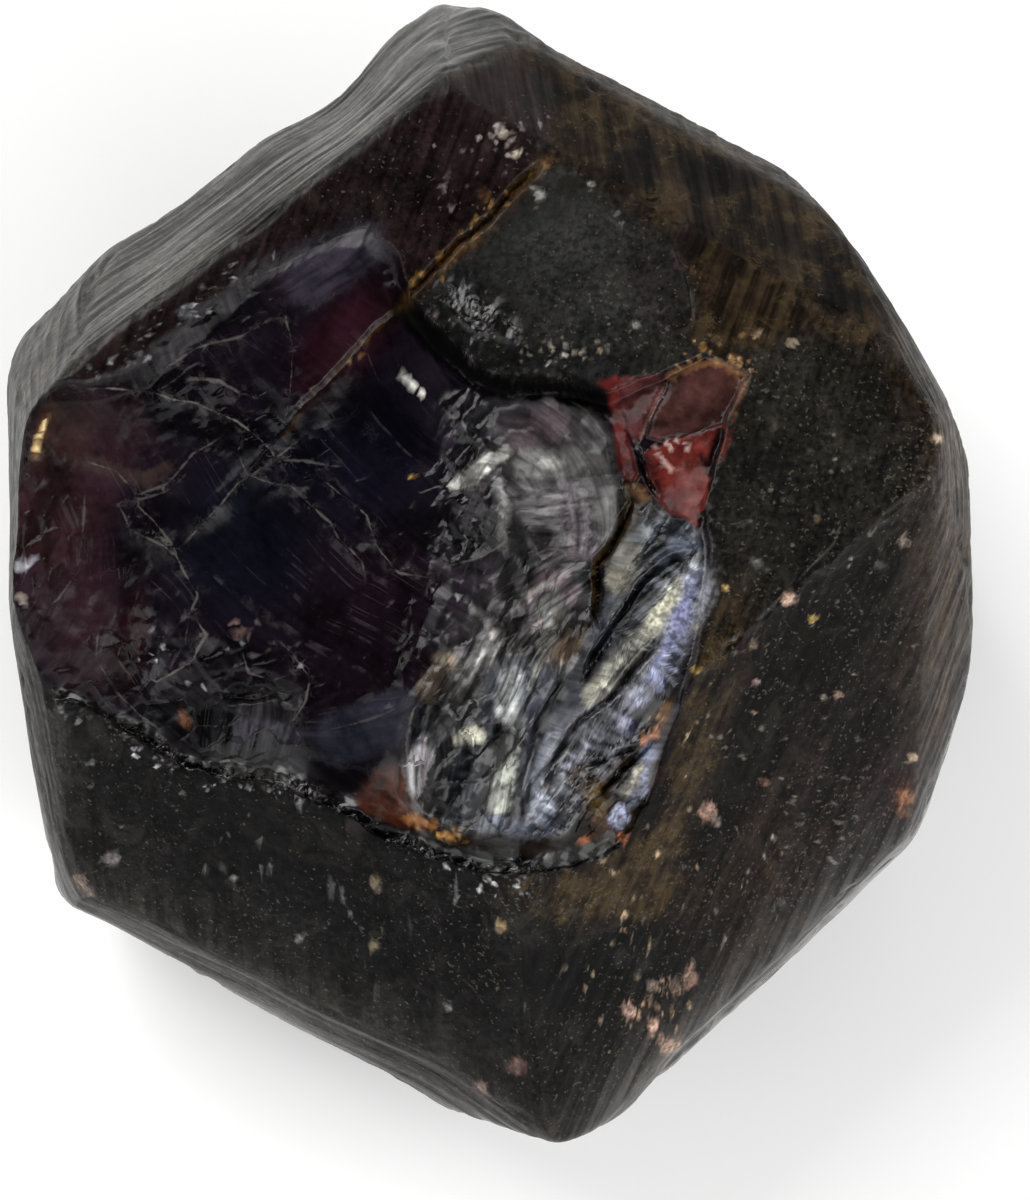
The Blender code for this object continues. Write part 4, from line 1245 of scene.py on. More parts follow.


# Patches of colour inside the break: colour, strength, half width, line. The pale patches in the silvery shells and
# on the long ridge are painted reflection and painted highlights.
STROKES = [
    # rounded shell: its pale strokes are painted highlights and painted reflection
    ((82, 78, 79), 0.9, 40, [(530, 430), (560, 450), (570, 500)]),
    ((70, 68, 74), 0.8, 16, [(476, 430), (500, 412), (530, 404)]),
    ((92, 78, 84), 0.7, 20, [(524, 432), (552, 420)]),
    ((150, 148, 146), 0.6, 14, [(530, 466), (572, 462)]),
    ((178, 176, 170), 0.95, 7, [(458, 483), (480, 470), (504, 454)]),
    ((140, 140, 140), 0.6, 4, [(498, 482), (506, 506), (502, 536)]),
    ((118, 116, 117), 0.8, 16, [(522, 500), (560, 508)]),
    ((112, 104, 110), 0.8, 20, [(574, 500), (580, 540)]),
    ((150, 149, 147), 0.7, 9, [(608, 500), (606, 534)]),
    ((130, 128, 128), 0.25, 4, [(536, 396), (566, 402), (592, 424), (608, 456), (613, 490)]),
    ((96, 84, 88), 0.7, 16, [(560, 560), (534, 584)]),
    ((76, 71, 74), 0.8, 34, [(520, 600), (480, 640)]),
    ((150, 146, 138), 0.6, 12, [(556, 606), (548, 640)]),
    ((134, 110, 84), 0.5, 14, [(570, 640), (556, 662)]),
    ((92, 91, 89), 0.8, 26, [(500, 660), (460, 676)]),
    ((140, 120, 96), 0.5, 12, [(444, 664), (428, 690)]),
    ((86, 90, 98), 0.8, 30, [(520, 690), (560, 700)]),
    ((150, 152, 152), 0.8, 10, [(512, 676), (506, 708), (520, 728)]),
    ((180, 178, 160), 0.8, 8, [(462, 738), (478, 734)]),
    # lower left shell: its pale strokes are painted reflection
    ((118, 116, 120), 0.8, 14, [(420, 760), (424, 800)]),
    ((130, 128, 126), 0.35, 4, [(410, 744), (408, 780), (420, 812)]),
    ((58, 62, 72), 0.9, 16, [(468, 764), (460, 812)]),
    ((136, 138, 130), 0.9, 9, [(512, 748), (506, 780), (499, 808)]),
    ((52, 54, 62), 0.8, 6, [(534, 738), (528, 790)]),
    ((140, 146, 158), 0.8, 13, [(556, 742), (548, 775), (542, 812)]),
    ((92, 96, 110), 0.7, 10, [(486, 826), (520, 830), (560, 826)]),
    # plane above the long ridge
    ((80, 86, 98), 0.9, 16, [(678, 536), (652, 538), (630, 556)]),
    ((150, 146, 128), 0.8, 11, [(630, 552), (618, 584)]),
    ((88, 98, 118), 0.8, 9, [(692, 544), (662, 556)]),
    ((70, 76, 90), 0.8, 12, [(612, 606), (600, 640)]),
    # the long ridge: its pale strokes are painted reflection and painted highlights
    ((132, 134, 142), 0.9, 30, [(684, 590), (650, 650), (612, 710), (570, 770)]),
    ((176, 174, 156), 0.9, 10, [(682, 584), (652, 626), (624, 662), (590, 700)]),
    ((200, 198, 176), 0.8, 7, [(672, 598), (650, 626)]),
    ((122, 126, 160), 0.85, 10, [(692, 582), (676, 640), (652, 690), (628, 726)]),
    ((150, 152, 170), 0.7, 10, [(640, 700), (604, 740), (576, 764)]),
    ((70, 56, 70), 0.75, 3.0, [(657, 649), (632, 670), (611, 699), (573, 724), (562, 744)]),
    ((20, 18, 22), 0.9, 9, [(452, 520), (470, 540), (496, 548)]),
    ((24, 22, 26), 0.8, 7, [(466, 440), (480, 424), (494, 414)]),
    ((30, 26, 32), 0.8, 5, [(500, 558), (540, 560), (560, 566)]),
    ((40, 32, 38), 0.8, 5, [(560, 584), (530, 600), (514, 626)]),
    ((140, 132, 130), 0.8, 4, [(566, 574), (536, 590), (516, 612)]),
    ((130, 124, 124), 0.8, 4, [(580, 592), (556, 604), (534, 630)]),
    ((36, 32, 38), 0.8, 6, [(470, 590), (458, 620), (466, 646)]),
    ((40, 42, 50), 0.85, 8, [(600, 640), (580, 668), (560, 696)]),
    ((34, 34, 42), 0.85, 7, [(552, 668), (540, 700), (530, 730)]),
    ((44, 46, 54), 0.8, 7, [(490, 676), (486, 712), (496, 744)]),
    ((170, 170, 164), 0.8, 3, [(556, 640), (540, 664), (530, 690)]),
    ((160, 158, 156), 0.7, 3.5, [(576, 656), (560, 676)]),
    ((180, 182, 178), 0.85, 4, [(546, 606), (550, 626), (540, 646)]),
    ((150, 146, 144), 0.7, 3, [(470, 604), (486, 622), (500, 648)]),
    ((110, 92, 100), 0.6, 8, [(540, 570), (570, 590), (584, 616)]),
    ((34, 28, 34), 0.8, 2.0, [(500, 500), (546, 494), (592, 486)]),
    ((44, 36, 42), 0.7, 1.6, [(506, 512), (550, 506), (590, 500)]),
    ((44, 36, 42), 0.7, 1.8, [(506, 524), (548, 518), (588, 514)]),
    ((36, 30, 36), 0.8, 2.0, [(510, 538), (548, 534), (588, 530)]),
    ((40, 34, 40), 0.7, 1.6, [(566, 494), (568, 520), (566, 548)]),
    ((40, 34, 40), 0.7, 1.6, [(578, 492), (580, 520), (578, 552)]),
    ((140, 132, 136), 0.7, 1.6, [(572, 492), (574, 520), (572, 550)]),
    ((150, 144, 146), 0.7, 1.6, [(584, 492), (586, 520), (584, 552)]),
    ((46, 38, 44), 0.7, 1.8, [(590, 492), (592, 520), (588, 556)]),
    ((160, 160, 156), 0.5, 2.4, [(500, 484), (508, 508), (503, 536)]),
    ((190, 188, 182), 0.8, 5, [(544, 462), (562, 462)]),
    ((30, 28, 34), 0.8, 4, [(444, 740), (452, 760)]),
    ((24, 26, 34), 0.9, 6, [(486, 756), (480, 790), (478, 820)]),
    ((130, 130, 130), 0.35, 2.4, [(418, 742), (416, 778), (428, 808)]),
    ((120, 112, 112), 0.7, 2.4, [(426, 738), (424, 774), (436, 804)]),
    ((20, 18, 20), 0.9, 4, [(563, 742), (552, 764), (546, 790)]),
    # broken corner
    ((66, 46, 30), 0.9, 14, [(580, 776), (600, 800), (596, 826)]),
    ((120, 96, 50), 0.7, 7, [(590, 786), (600, 812)]),
    ((140, 146, 170), 0.85, 9, [(648, 756), (636, 790), (620, 820)]),
    ((176, 168, 140), 0.7, 5, [(640, 768), (626, 796)]),
    ((30, 22, 18), 0.95, 8, [(640, 716), (656, 706)]),
    ((196, 132, 100), 0.9, 5, [(646, 742), (654, 734)]),
    ((104, 74, 38), 0.7, 4, [(660, 722), (668, 706)]),
    ((196, 120, 80), 0.9, 3.5, [(584, 839), (588, 839)]),
    ((196, 120, 80), 0.9, 3.5, [(621, 838), (626, 838)]),
    # brown stained crack beside the shell
    ((64, 50, 30), 0.95, 8, [(630, 486), (634, 510), (618, 540), (600, 560)]),
    ((84, 66, 34), 0.9, 3.5, [(600, 560), (593, 590), (596, 616), (584, 634)]),
    ((140, 98, 62), 0.75, 5, [(632, 490), (646, 500)]),
    # dark side
    ((64, 66, 80), 0.5, 26, [(340, 740), (400, 716)]),
    ((58, 56, 66), 0.5, 16, [(250, 735), (300, 745)]),
    ((48, 24, 34), 0.4, 18, [(310, 390), (345, 345), (380, 300)]),
    ((52, 48, 60), 0.6, 26, [(310, 280), (360, 244)]),
    ((128, 84, 60), 0.7, 5, [(184, 712), (188, 724)]),
    ((150, 100, 60), 0.8, 4, [(408, 818), (436, 824)]),
    ((120, 96, 92), 0.8, 3, [(236, 636), (246, 630)]),
    ((84, 66, 58), 0.35, 7, [(80, 457), (116, 470), (152, 480), (166, 468)]),
    # painted glint at the left edge: a cream highlight with a warm glow round it
    ((64, 44, 34), 0.6, 11, [(52, 412), (44, 436), (38, 458)]),
    ((120, 82, 50), 0.8, 5, [(48, 418), (43, 436), (38, 452)]),
    ((255, 224, 160), 1.0, 2.4, [(46, 420), (41, 436), (37, 450)]),
    # trims of the red splinters
    ((190, 140, 130), 0.4, 1.6, [(666, 384), (656, 404), (645, 430), (640, 442)]),
    ((150, 106, 68), 0.7, 4.0, [(668, 376), (690, 366), (716, 360), (742, 374)]),
    ((150, 108, 84), 0.6, 3.5, [(744, 378), (742, 400), (732, 416)]),
    ((60, 40, 38), 0.8, 2.0, [(664, 440), (690, 434), (708, 430)]),
    ((150, 116, 84), 0.7, 3.5, [(628, 486), (640, 492), (652, 500)]),
    # painted glint on the upper left of the red wedge
    ((210, 170, 164), 0.8, 2.2, [(656, 446), (664, 462), (672, 470)]),
    ((150, 88, 84), 0.7, 6, [(684, 470), (694, 500)]),
    ((16, 9, 9), 0.95, 3.0, [(638, 444), (642, 458), (646, 476), (656, 494)]),
    ((8, 7, 7), 0.95, 4.5, [(722, 430), (716, 466), (710, 500), (702, 522)]),
    ((220, 216, 210), 0.95, 2.0, [(402, 377), (413, 386), (426, 397)]),
    ((196, 150, 70), 1.0, 2.4, [(411, 476), (412, 478)]),
    ((150, 110, 60), 0.8, 3, [(392, 214), (384, 200)]),
    # painted deep shade under the plateau, in the black hollow and along the cracks beside the red wedge
    ((5, 5, 6), 1.0, 6, [(402, 304), (434, 338), (472, 372), (506, 387), (548, 385), (598, 400)]),
    ((5, 5, 6), 0.9, 5, [(414, 296), (440, 268), (462, 250)]),
    ((5, 4, 5), 0.9, 8, [(236, 690), (256, 694), (284, 686)]),
    ((6, 5, 5), 0.9, 4, [(706, 458), (714, 480), (708, 505)]),
    ((22, 10, 10), 0.7, 3.2, [(648, 458), (652, 474), (660, 490)]),
]


def stroke_paint(P, u, v, seen):
    off_red = 1 - region(u, v, RED_WEDGE, 2.0)
    wu = u + 4 * fbm2(u, v, 24, 301, 3) + 2.4 * noise2(u / 5, v / 5, 305)
    wv = v + 4 * fbm2(u, v, 24, 302, 3) + 2.4 * noise2(u / 5, v / 5, 306)
    for tone, strength, width, line in STROKES:
        if len(line) == 1:
            line = line * 2
        fine = width <= 3
        d, _, t = line_distance(u if fine else wu, v if fine else wv, line,
                                reach=width * 2 + 4)
        soft = max(1.0, width * 0.28)
        wide = width * (0.35 + 0.65 * (4 * t * (1 - t)) ** 0.5) if fine else width
        m = strength * smooth(wide + soft, wide - soft, d) * (v < 900) * seen
        if width >= 7:
            m = m * off_red
        # pale strokes, the painted highlights and painted reflection, are laid stronger
        gain = STROKE_GAIN * (1 + 0.55 * smooth(110, 185, np.mean(tone)))
        P.lay(m, tone=lin(*tone) * gain)


STROKE_GAIN = 2.3


# Thin pale lines and scratches with no relief of their own.
HAIRS = [
    (0.5, [(183, 380), (221, 383), (259, 398)]),
    (0.5, [(293, 459), (341, 466)]),
    (0.5, [(720, 526), (750, 521)]),
    (0.4, [(186, 476), (166, 493), (145, 500), (124, 503)]),
]


def lines_field(u, v, lines, spall):
    """Signed distance to the nearest line, and how strong it is there."""
    n = len(u)
    best = np.full(n, 40.0)
    sd = np.full(n, 8.0)
    mask = np.zeros(n)
    halo = np.zeros(n)
    for amount, line in lines:
        d, side, t = line_distance(u, v, line, reach=14)
        ends = smooth(0.0, 0.10, t) * smooth(1.0, 0.90, t)
        near = d < best
        best = np.where(near, d, best)
        sd = np.where(near, np.clip(d * np.where(side < 0, -1, 1), -12, 12),
                      sd)
        m = amount * (0.04 + 0.96 * ends) * smooth(6.0, 2.6, d)
        mask = np.where(near, m, mask)
        halo = np.maximum(halo, amount * (0.2 + 0.8 * ends)
                          * np.exp(-(d / 6.5) ** 2))
    return sd, mask, halo


def flow(u, v):
    """Across and along the fine lines of the break."""
    wu = u + 5 * fbm2(u, v, 45, 401, 2)
    wv = v + 5 * fbm2(u, v, 45, 402, 2)

    def rings(cx, cy, skew=1.0):
        r = np.hypot(wu - cx, (wv - cy) * skew)
        return r, np.arctan2(wv - cy, wu - cx) * 160

    def lines(angle):
        a = math.radians(angle)
        return (wu * math.sin(a) + wv * math.cos(a),
                wu * math.cos(a) - wv * math.sin(a))

    wu += 16 * fbm2(u, v, 130, 403, 3)
    wv += 16 * fbm2(u, v, 130, 404, 3)
    ga, gl = rings(760, 60)
    table = [
        (zone(u, v, 60, 540, 90, 160), rings(-80, 560)),
        (zone(u, v, 330, 330, 90, 90), lines(-40)),
        (zone(u, v, 322, 255, 70, 40, 30), lines(30)),
        (zone(u, v, 250, 728, 60, 36), lines(80)),
        (zone(u, v, 370, 730, 70, 40), rings(300, 420)),
        (zone(u, v, 420, 390, 60, 80), rings(600, 260)),
        (region(u, v, SHELL_ONE, 2), rings(480, 520)),
        (zone(u, v, 545, 516, 40, 24), lines(4)),
        (zone(u, v, 578, 522, 16, 42), lines(88)),
        (region(u, v, SHELL_LOW, 2), lines(62)),
        (zone(u, v, 545, 590, 60, 40), lines(36)),
        (zone(u, v, 440, 770, 44, 70), rings(470, 760)),
        (zone(u, v, 480, 780, 56, 60), lines(80)),
        (region(u, v, LONG_RIDGE, 2), lines(56)),
    ]
    for m, (a, l) in table:
        pick = m > 0.5
        ga = np.where(pick, a, ga); gl = np.where(pick, l, gl)
    return ga, gl


def dress(ob):
    me = ob.data
    n = len(me.vertices)
    co = np.empty(n * 3, np.float32)
    me.vertices.foreach_get("co", co)
    p = co.reshape(-1, 3) / UNIT - SHIFT
    nr = np.empty(n * 3, np.float32)
    me.vertices.foreach_get("normal", nr)
    nr = nr.reshape(-1, 3)

    def read(name):
        a = np.zeros(n, np.float32)
        if name in me.attributes:
            me.attributes[name].data.foreach_get("value", a)
        return a

    spall, crack = read("spall"), read("crack")
    P, idx, u, v, seen = paint(p, nr, spall, crack)
    wu = u + 3.0 * fbm2(u, v, 40, 11, 3)
    wv = v + 3.0 * fbm2(u, v, 40, 21, 3)
    pale = [(amount, line) for _, _, amount, line in CRESTS]
    put_line = {"crest": lines_field(wu, wv, pale + HAIRS, spall)}
    along, across = grain_frames()
    ga = (p * across[idx]).sum(1) + idx * 733.0
    gl = (p * along[idx]).sum(1) + idx * 311.0
    inb = spall > 0.5
    fa, fl = flow(u, v)
    ga = np.where(inb, fa, ga); gl = np.where(inb, fl, gl)

    def put(name, kind, values, prop):
        if name in me.attributes:
            me.attributes.remove(me.attributes[name])
        at = me.attributes.new(name, kind, "POINT")
        at.data.foreach_set(prop, np.asarray(values, np.float32).ravel())

    tone = np.hstack([np.clip(P.tone, 0, 1), np.ones((n, 1))])
    put("tone", "FLOAT_COLOR", tone, "color")
    put("feel", "FLOAT_VECTOR",
        np.stack([P.rough, P.gloss, P.bump], 1), "vector")
    put("dirt", "FLOAT_VECTOR",
        np.stack([P.ochre, P.lint, P.streak], 1), "vector")
    put("grain", "FLOAT_VECTOR",
        np.stack([ga, gl * 0.06, idx * 5.0], 1) * 0.01, "vector")
    for name, (sd, mask, halo) in put_line.items():
        put(name, "FLOAT_VECTOR", np.stack([sd, mask * seen, halo * seen], 1),
            "vector")
    ripple = spall * seen * smooth(455, 410, u) * smooth(20, 60, v - 300)
    put("ripple", "FLOAT", ripple, "value")
    for name in ("spall", "crack"):
        if name in me.attributes:
            me.attributes.remove(me.attributes[name])


def garnet_material():
    m = bpy.data.materials.new("almandine")
    m.use_nodes = True
    nt = m.node_tree
    for nd in list(nt.nodes):
        nt.nodes.remove(nd)
    N = nt.nodes.new
    L = nt.links.new
    out = N("ShaderNodeOutputMaterial")
    bsdf = N("ShaderNodeBsdfPrincipled")
    L(bsdf.outputs[0], out.inputs[0])
    bsdf.inputs["IOR"].default_value = 1.79
    bsdf.inputs["Specular IOR Level"].default_value = 0.02
    bsdf.inputs["Coat Roughness"].default_value = 0.2
    bsdf.inputs["Coat IOR"].default_value = 1.5

    def attr(name):
        a = N("ShaderNodeAttribute"); a.attribute_name = name
        return a

    def math_(op, a, b=None, clamp=False):
        nd = N("ShaderNodeMath"); nd.operation = op; nd.use_clamp = clamp
        for k, x in enumerate((a, b)):
            if x is None:
                continue
            if isinstance(x, (int, float)):
                nd.inputs[k].default_value = x
            else:
                L(x, nd.inputs[k])
        return nd.outputs[0]

    def noise(vec, scale, detail=2.0, rough=0.5, dist=0.0):
        nd = N("ShaderNodeTexNoise")
        L(vec, nd.inputs["Vector"])
        nd.inputs["Scale"].default_value = scale
        nd.inputs["Detail"].default_value = detail
        nd.inputs["Roughness"].default_value = rough
        nd.inputs["Distortion"].default_value = dist
        return nd.outputs["Fac"]

    def span(x, a, b, lo=0.0, hi=1.0):
        nd = N("ShaderNodeMapRange")
        nd.interpolation_type = "SMOOTHSTEP"
        L(x, nd.inputs["Value"])
        for k, val in (("From Min", a), ("From Max", b), ("To Min", lo),
                       ("To Max", hi)):
            nd.inputs[k].default_value = val
        return nd.outputs["Result"]

    def mix(fac, a, b, kind="MIX"):
        nd = N("ShaderNodeMix"); nd.data_type = "RGBA"; nd.blend_type = kind
        for key, x in (("Factor", fac), ("A", a), ("B", b)):
            sock = [s for s in nd.inputs if s.name == key
                    and (s.type == ("VALUE" if key == "Factor" else "RGBA"))][0]
            if isinstance(x, (int, float)):
                sock.default_value = x
            elif isinstance(x, tuple):
                sock.default_value = (*x, 1.0)
            else:
                L(x, sock)
        return [s for s in nd.outputs if s.type == "RGBA"][0]

    tone = attr("tone"); feel = attr("feel"); dirt = attr("dirt")
    grain = attr("grain")
    coord = N("ShaderNodeTexCoord").outputs["Object"]
    f = N("ShaderNodeSeparateXYZ"); L(feel.outputs["Vector"], f.inputs[0])
    d = N("ShaderNodeSeparateXYZ"); L(dirt.outputs["Vector"], d.inputs[0])
    g = grain.outputs["Vector"]
    mm = 1000.0

    # streaks run along the growth lines
    s_fine = noise(g, 14.0, 2.0, 0.6, 0.0)
    s_wide = noise(g, 4.5, 1.0, 0.5, 0.0)
    s_sum = math_("ADD", math_("MULTIPLY", s_fine, 0.6),
                  math_("MULTIPLY", s_wide, 0.4))
    s_dark = span(s_sum, 0.38, 0.62, 0.15, 1.9)
    s_amt = math_("MULTIPLY", math_("SUBTRACT", s_dark, 1.0), d.outputs[2])
    s_mul = math_("ADD", s_amt, 1.0)
    # cloudy unevenness
    cloud = noise(coord, 0.45 * mm, 5.0, 0.7, 0.3)
    c_wide2 = span(cloud, 0.32, 0.68, 0.42, 1.62)
    grit = noise(coord, 5.0 * mm, 1.0, 0.75, 0.0)
    g_dev = math_("MULTIPLY", span(grit, 0.3, 0.7, -0.5, 0.5),
                  span(d.outputs[1], 0.05, 0.4, 0.15, 1.0))
    c_mul = math_("MULTIPLY", c_wide2, math_("ADD", g_dev, 1.0))
    vmul = N("ShaderNodeVectorMath"); vmul.operation = "SCALE"
    L(tone.outputs["Color"], vmul.inputs[0])
    L(math_("MULTIPLY", s_mul, c_mul), vmul.inputs["Scale"])
    base = vmul.outputs[0]
    # thin veils of dirt
    v_n = noise(coord, 0.8 * mm, 5.0, 0.72, 0.8)
    v_fac = math_("MULTIPLY", span(v_n, 0.50, 0.66),
                  math_("MULTIPLY", d.outputs[1], 0.6))
    base = mix(v_fac, base, (0.030, 0.026, 0.021))
    # ochre stain
    o_n = noise(coord, 0.9 * mm, 3.0, 0.65, 0.0)
    o_s = noise(g, 9.0, 2.0, 0.6, 0.0)
    o_mask = math_("ADD", math_("MULTIPLY", o_n, 0.6),
                   math_("MULTIPLY", o_s, 0.4))
    o_fac = span(math_("ADD", o_mask, math_("MULTIPLY", d.outputs[0], 0.22)),
                 0.60, 0.74)
    o_fac = math_("MULTIPLY", o_fac, span(d.outputs[0], 0.0, 0.5))
    base = mix(math_("MULTIPLY", o_fac, 0.5), base, (0.045, 0.030, 0.013))
    n_w = N("ShaderNodeTexNoise"); L(coord, n_w.inputs["Vector"])
    n_w.inputs["Scale"].default_value = 1.3 * mm
    n_w.inputs["Detail"].default_value = 2.0
    n_s = N("ShaderNodeVectorMath"); n_s.operation = "SCALE"
    L(n_w.outputs["Color"], n_s.inputs[0])
    n_s.inputs["Scale"].default_value = 0.00060
    n_a = N("ShaderNodeVectorMath"); n_a.operation = "ADD"
    L(coord, n_a.inputs[0]); L(n_s.outputs[0], n_a.inputs[1])

    def net(scale, thin):
        vo = N("ShaderNodeTexVoronoi")
        vo.feature = "DISTANCE_TO_EDGE"
        vo.inputs["Scale"].default_value = scale * mm
        L(n_a.outputs[0], vo.inputs["Vector"])
        return span(vo.outputs["Distance"], thin * 0.2, thin, 1.0, 0.0)

    v_r = noise(coord, 1.0 * mm, 4.0, 0.62, 0.7)
    v_line = span(math_("ABSOLUTE", math_("SUBTRACT", v_r, 0.5)), 0.0, 0.020,
                  1.0, 0.0)
    n_line = math_("MAXIMUM", math_("MULTIPLY", net(1.0, 0.060), 0.35), v_line)
    n_fac = math_("MULTIPLY", math_("MULTIPLY", n_line,
                  span(o_n, 0.42, 0.60)), span(d.outputs[0], 0.3, 0.65))
    base = mix(math_("MULTIPLY", n_fac, 0.62, clamp=True), base,
               (0.075, 0.053, 0.024))
    # pale grains and fibres caught on the skin
    warp = N("ShaderNodeTexNoise"); L(coord, warp.inputs["Vector"])
    warp.inputs["Scale"].default_value = 6.0 * mm
    warp.inputs["Detail"].default_value = 2.0
    wv = N("ShaderNodeVectorMath"); wv.operation = "SCALE"
    L(warp.outputs["Color"], wv.inputs[0])
    wv.inputs["Scale"].default_value = 0.00010
    wa = N("ShaderNodeVectorMath"); wa.operation = "ADD"
    L(coord, wa.inputs[0]); L(wv.outputs[0], wa.inputs[1])

    def specks(scale, big, seed):
        vo = N("ShaderNodeTexVoronoi")
        vo.inputs["Scale"].default_value = scale * mm
        off = N("ShaderNodeVectorMath"); off.operation = "ADD"
        L(wa.outputs[0], off.inputs[0])
        off.inputs[1].default_value = (seed, seed * 0.7, seed * 1.3)
        L(off.outputs[0], vo.inputs["Vector"])
        sep = N("ShaderNodeSeparateColor")
        L(vo.outputs["Color"], sep.inputs[0])
        size = span(sep.outputs[0], 0.2, 1.0, 0.0, big)
        ratio = math_("DIVIDE", vo.outputs["Distance"],
                      math_("ADD", size, 0.0001))
        keep = span(math_("ADD", sep.outputs[1],
                          math_("MULTIPLY", d.outputs[1], 0.26)),
                    0.86, 1.08)
        return math_("MULTIPLY", span(ratio, 0.6, 1.0, 1.0, 0.0), keep)

    fine = specks(4.6, 0.20, 0.013)
    coarse = specks(1.5, 0.14, 0.031)
    l_fac = math_("MAXIMUM", math_("MULTIPLY", fine, 0.55), coarse)
    # fibres and scratches
    h2 = noise(wa.outputs[0], 0.9 * mm, 2.0, 0.5, 2.0)
    h2m = noise(coord, 1.3 * mm, 2.0, 0.5, 0.0)
    h2_line = span(math_("ABSOLUTE", math_("SUBTRACT", h2, 0.47)), 0.0, 0.008,
                   1.0, 0.0)
    h2_fac = math_("MULTIPLY", h2_line, span(h2m, 0.55, 0.62))
    h2_fac = math_("MULTIPLY", h2_fac, span(d.outputs[1], 0.15, 0.5))
    h_fac = h2_fac
    l_all = math_("MAXIMUM", l_fac, math_("MULTIPLY", h_fac, 0.4))
    dust_n = noise(coord, 7.0 * mm, 1.0, 0.8, 0.0)
    dust_c = noise(coord, 0.7 * mm, 1.0, 0.6, 0.0)
    dust = span(math_("ADD", dust_n, math_("MULTIPLY",
                math_("ADD", dust_c, d.outputs[1]), 0.16)), 0.80, 0.90)
    l_all = math_("MAXIMUM", l_all, math_("MULTIPLY", dust, 0.5))
    l_all = math_("MULTIPLY", l_all, span(d.outputs[1], 0.05, 0.28))
    base = mix(math_("MULTIPLY", l_all, 0.8), base, (0.10, 0.086, 0.068))
    # thin pale edges where two shells of the break meet, and a grainy pale halo beside them: the colour of the
    # crushed edge with a painted highlight along it
    cr = attr("crest")
    cs = N("ShaderNodeSeparateXYZ"); L(cr.outputs["Vector"], cs.inputs[0])
    c_var = noise(coord, 1.6 * mm, 3.0, 0.6, 0.0)
    c_wide = span(c_var, 0.38, 0.7, 0.35, 1.4)
    c_abs = math_("ABSOLUTE", cs.outputs[0])
    c_line = span(math_("DIVIDE", c_abs, c_wide), 0.2, 1.9, 1.0, 0.0)
    c_fac = math_("MULTIPLY", math_("MULTIPLY", c_line, cs.outputs[1]),
                  span(c_var, 0.40, 0.58, 0.10, 1.0))
    base = mix(math_("MULTIPLY", c_fac, 0.5), base, (0.19, 0.17, 0.155))
    k_n = noise(coord, 2.8 * mm, 3.0, 0.65, 0.5)
    k_fac = math_("MULTIPLY", cs.outputs[2], span(k_n, 0.50, 0.68))
    base = mix(math_("MULTIPLY", k_fac, 0.38), base, (0.10, 0.090, 0.086))
    q_fac = math_("MULTIPLY", h2_line, math_("MULTIPLY", cs.outputs[2], 1.6),
                  clamp=True)
    base = mix(math_("MULTIPLY", q_fac, 0.10), base, (0.14, 0.126, 0.118))
    # curved pale ripple lines through the dark shells: painted highlights along their edges
    rp = attr("ripple")
    ri = noise(g, 6.0, 2.0, 0.5, 0.5)
    ri_line = span(math_("ABSOLUTE", math_("SUBTRACT", ri, 0.5)), 0.0, 0.030,
                   1.0, 0.0)
    ri_where = noise(coord, 0.9 * mm, 4.0, 0.65, 0.0)
    ri_fac = math_("MULTIPLY", math_("MULTIPLY", ri_line,
                   span(ri_where, 0.48, 0.62)), rp.outputs["Fac"])
    base = mix(math_("MULTIPLY", ri_fac, 0.21), base, (0.080, 0.073, 0.074))
    L(base, bsdf.inputs["Base Color"])
    # roughness
    r_n = noise(coord, 2.2 * mm, 1.0, 0.6, 0.0)
    r = math_("ADD", f.outputs[0], span(r_n, 0.3, 0.7, -0.07, 0.1))
    r = math_("ADD", r, math_("MULTIPLY", l_fac, 0.3), clamp=True)
    L(r, bsdf.inputs["Roughness"])
    # how polished each place is
    shine = math_("MULTIPLY", math_("SUBTRACT", f.outputs[1], 0.02), 4.0,
                  clamp=True)
    shine = math_("MULTIPLY", shine, span(s_sum, 0.36, 0.64, 0.45, 1.5),
                  clamp=True)
    L(shine, bsdf.inputs["Coat Weight"])
    # fine relief
    b_n = noise(coord, 3.0 * mm, 3.0, 0.65, 0.0)
    b_s = math_("MULTIPLY", math_("MULTIPLY", s_sum, d.outputs[2]), 1.2)
    b_h = math_("ADD", math_("MULTIPLY", b_n, f.outputs[2]), b_s)
    bump = N("ShaderNodeBump")
    bump.inputs["Strength"].default_value = 0.55
    bump.inputs["Distance"].default_value = 0.00006
    L(b_h, bump.inputs["Height"])
    L(bump.outputs[0], bsdf.inputs["Normal"])
    return m


# ---------------------------------------------------------------- stage
def stage():
    size = 1.6
    me = bpy.data.meshes.new("floor_sheet")
    me.from_pydata([(-size, -size, -1.0e-5), (size, -size, -1.0e-5),
                    (size, size, -1.0e-5), (-size, size, -1.0e-5)], [],
                   [(0, 1, 2, 3)])
    ob = bpy.data.objects.new("floor_sheet", me)
    bpy.context.collection.objects.link(ob)
    m = bpy.data.materials.new("floor_paper")
    m.use_nodes = True
    b = m.node_tree.nodes["Principled BSDF"]
    b.inputs["Base Color"].default_value = (0.95, 0.95, 0.95, 1)
    b.inputs["Roughness"].default_value = 0.9
    b.inputs["Specular IOR Level"].default_value = 0.1
    me.materials.append(m)
    return ob


def soft_box(name, azimuth, elevation, distance, size, radiance, colour=(1, 1, 1)):
    a, e = math.radians(azimuth), math.radians(elevation)
    way = Vector((math.cos(a) * math.cos(e), math.sin(a) * math.cos(e),
                  math.sin(e)))
    light = bpy.data.lights.new(name, "AREA")
    light.shape = "RECTANGLE"
    light.size, light.size_y = size
    light.color = colour
    light.energy = radiance * math.pi * size[0] * size[1]
    ob = bpy.data.objects.new(name, light)
    ob.location = Vector((0, 0, 0.0087)) + way * distance
    ob.rotation_euler = way.to_track_quat("Z", "Y").to_euler()
    bpy.context.collection.objects.link(ob)
    return ob


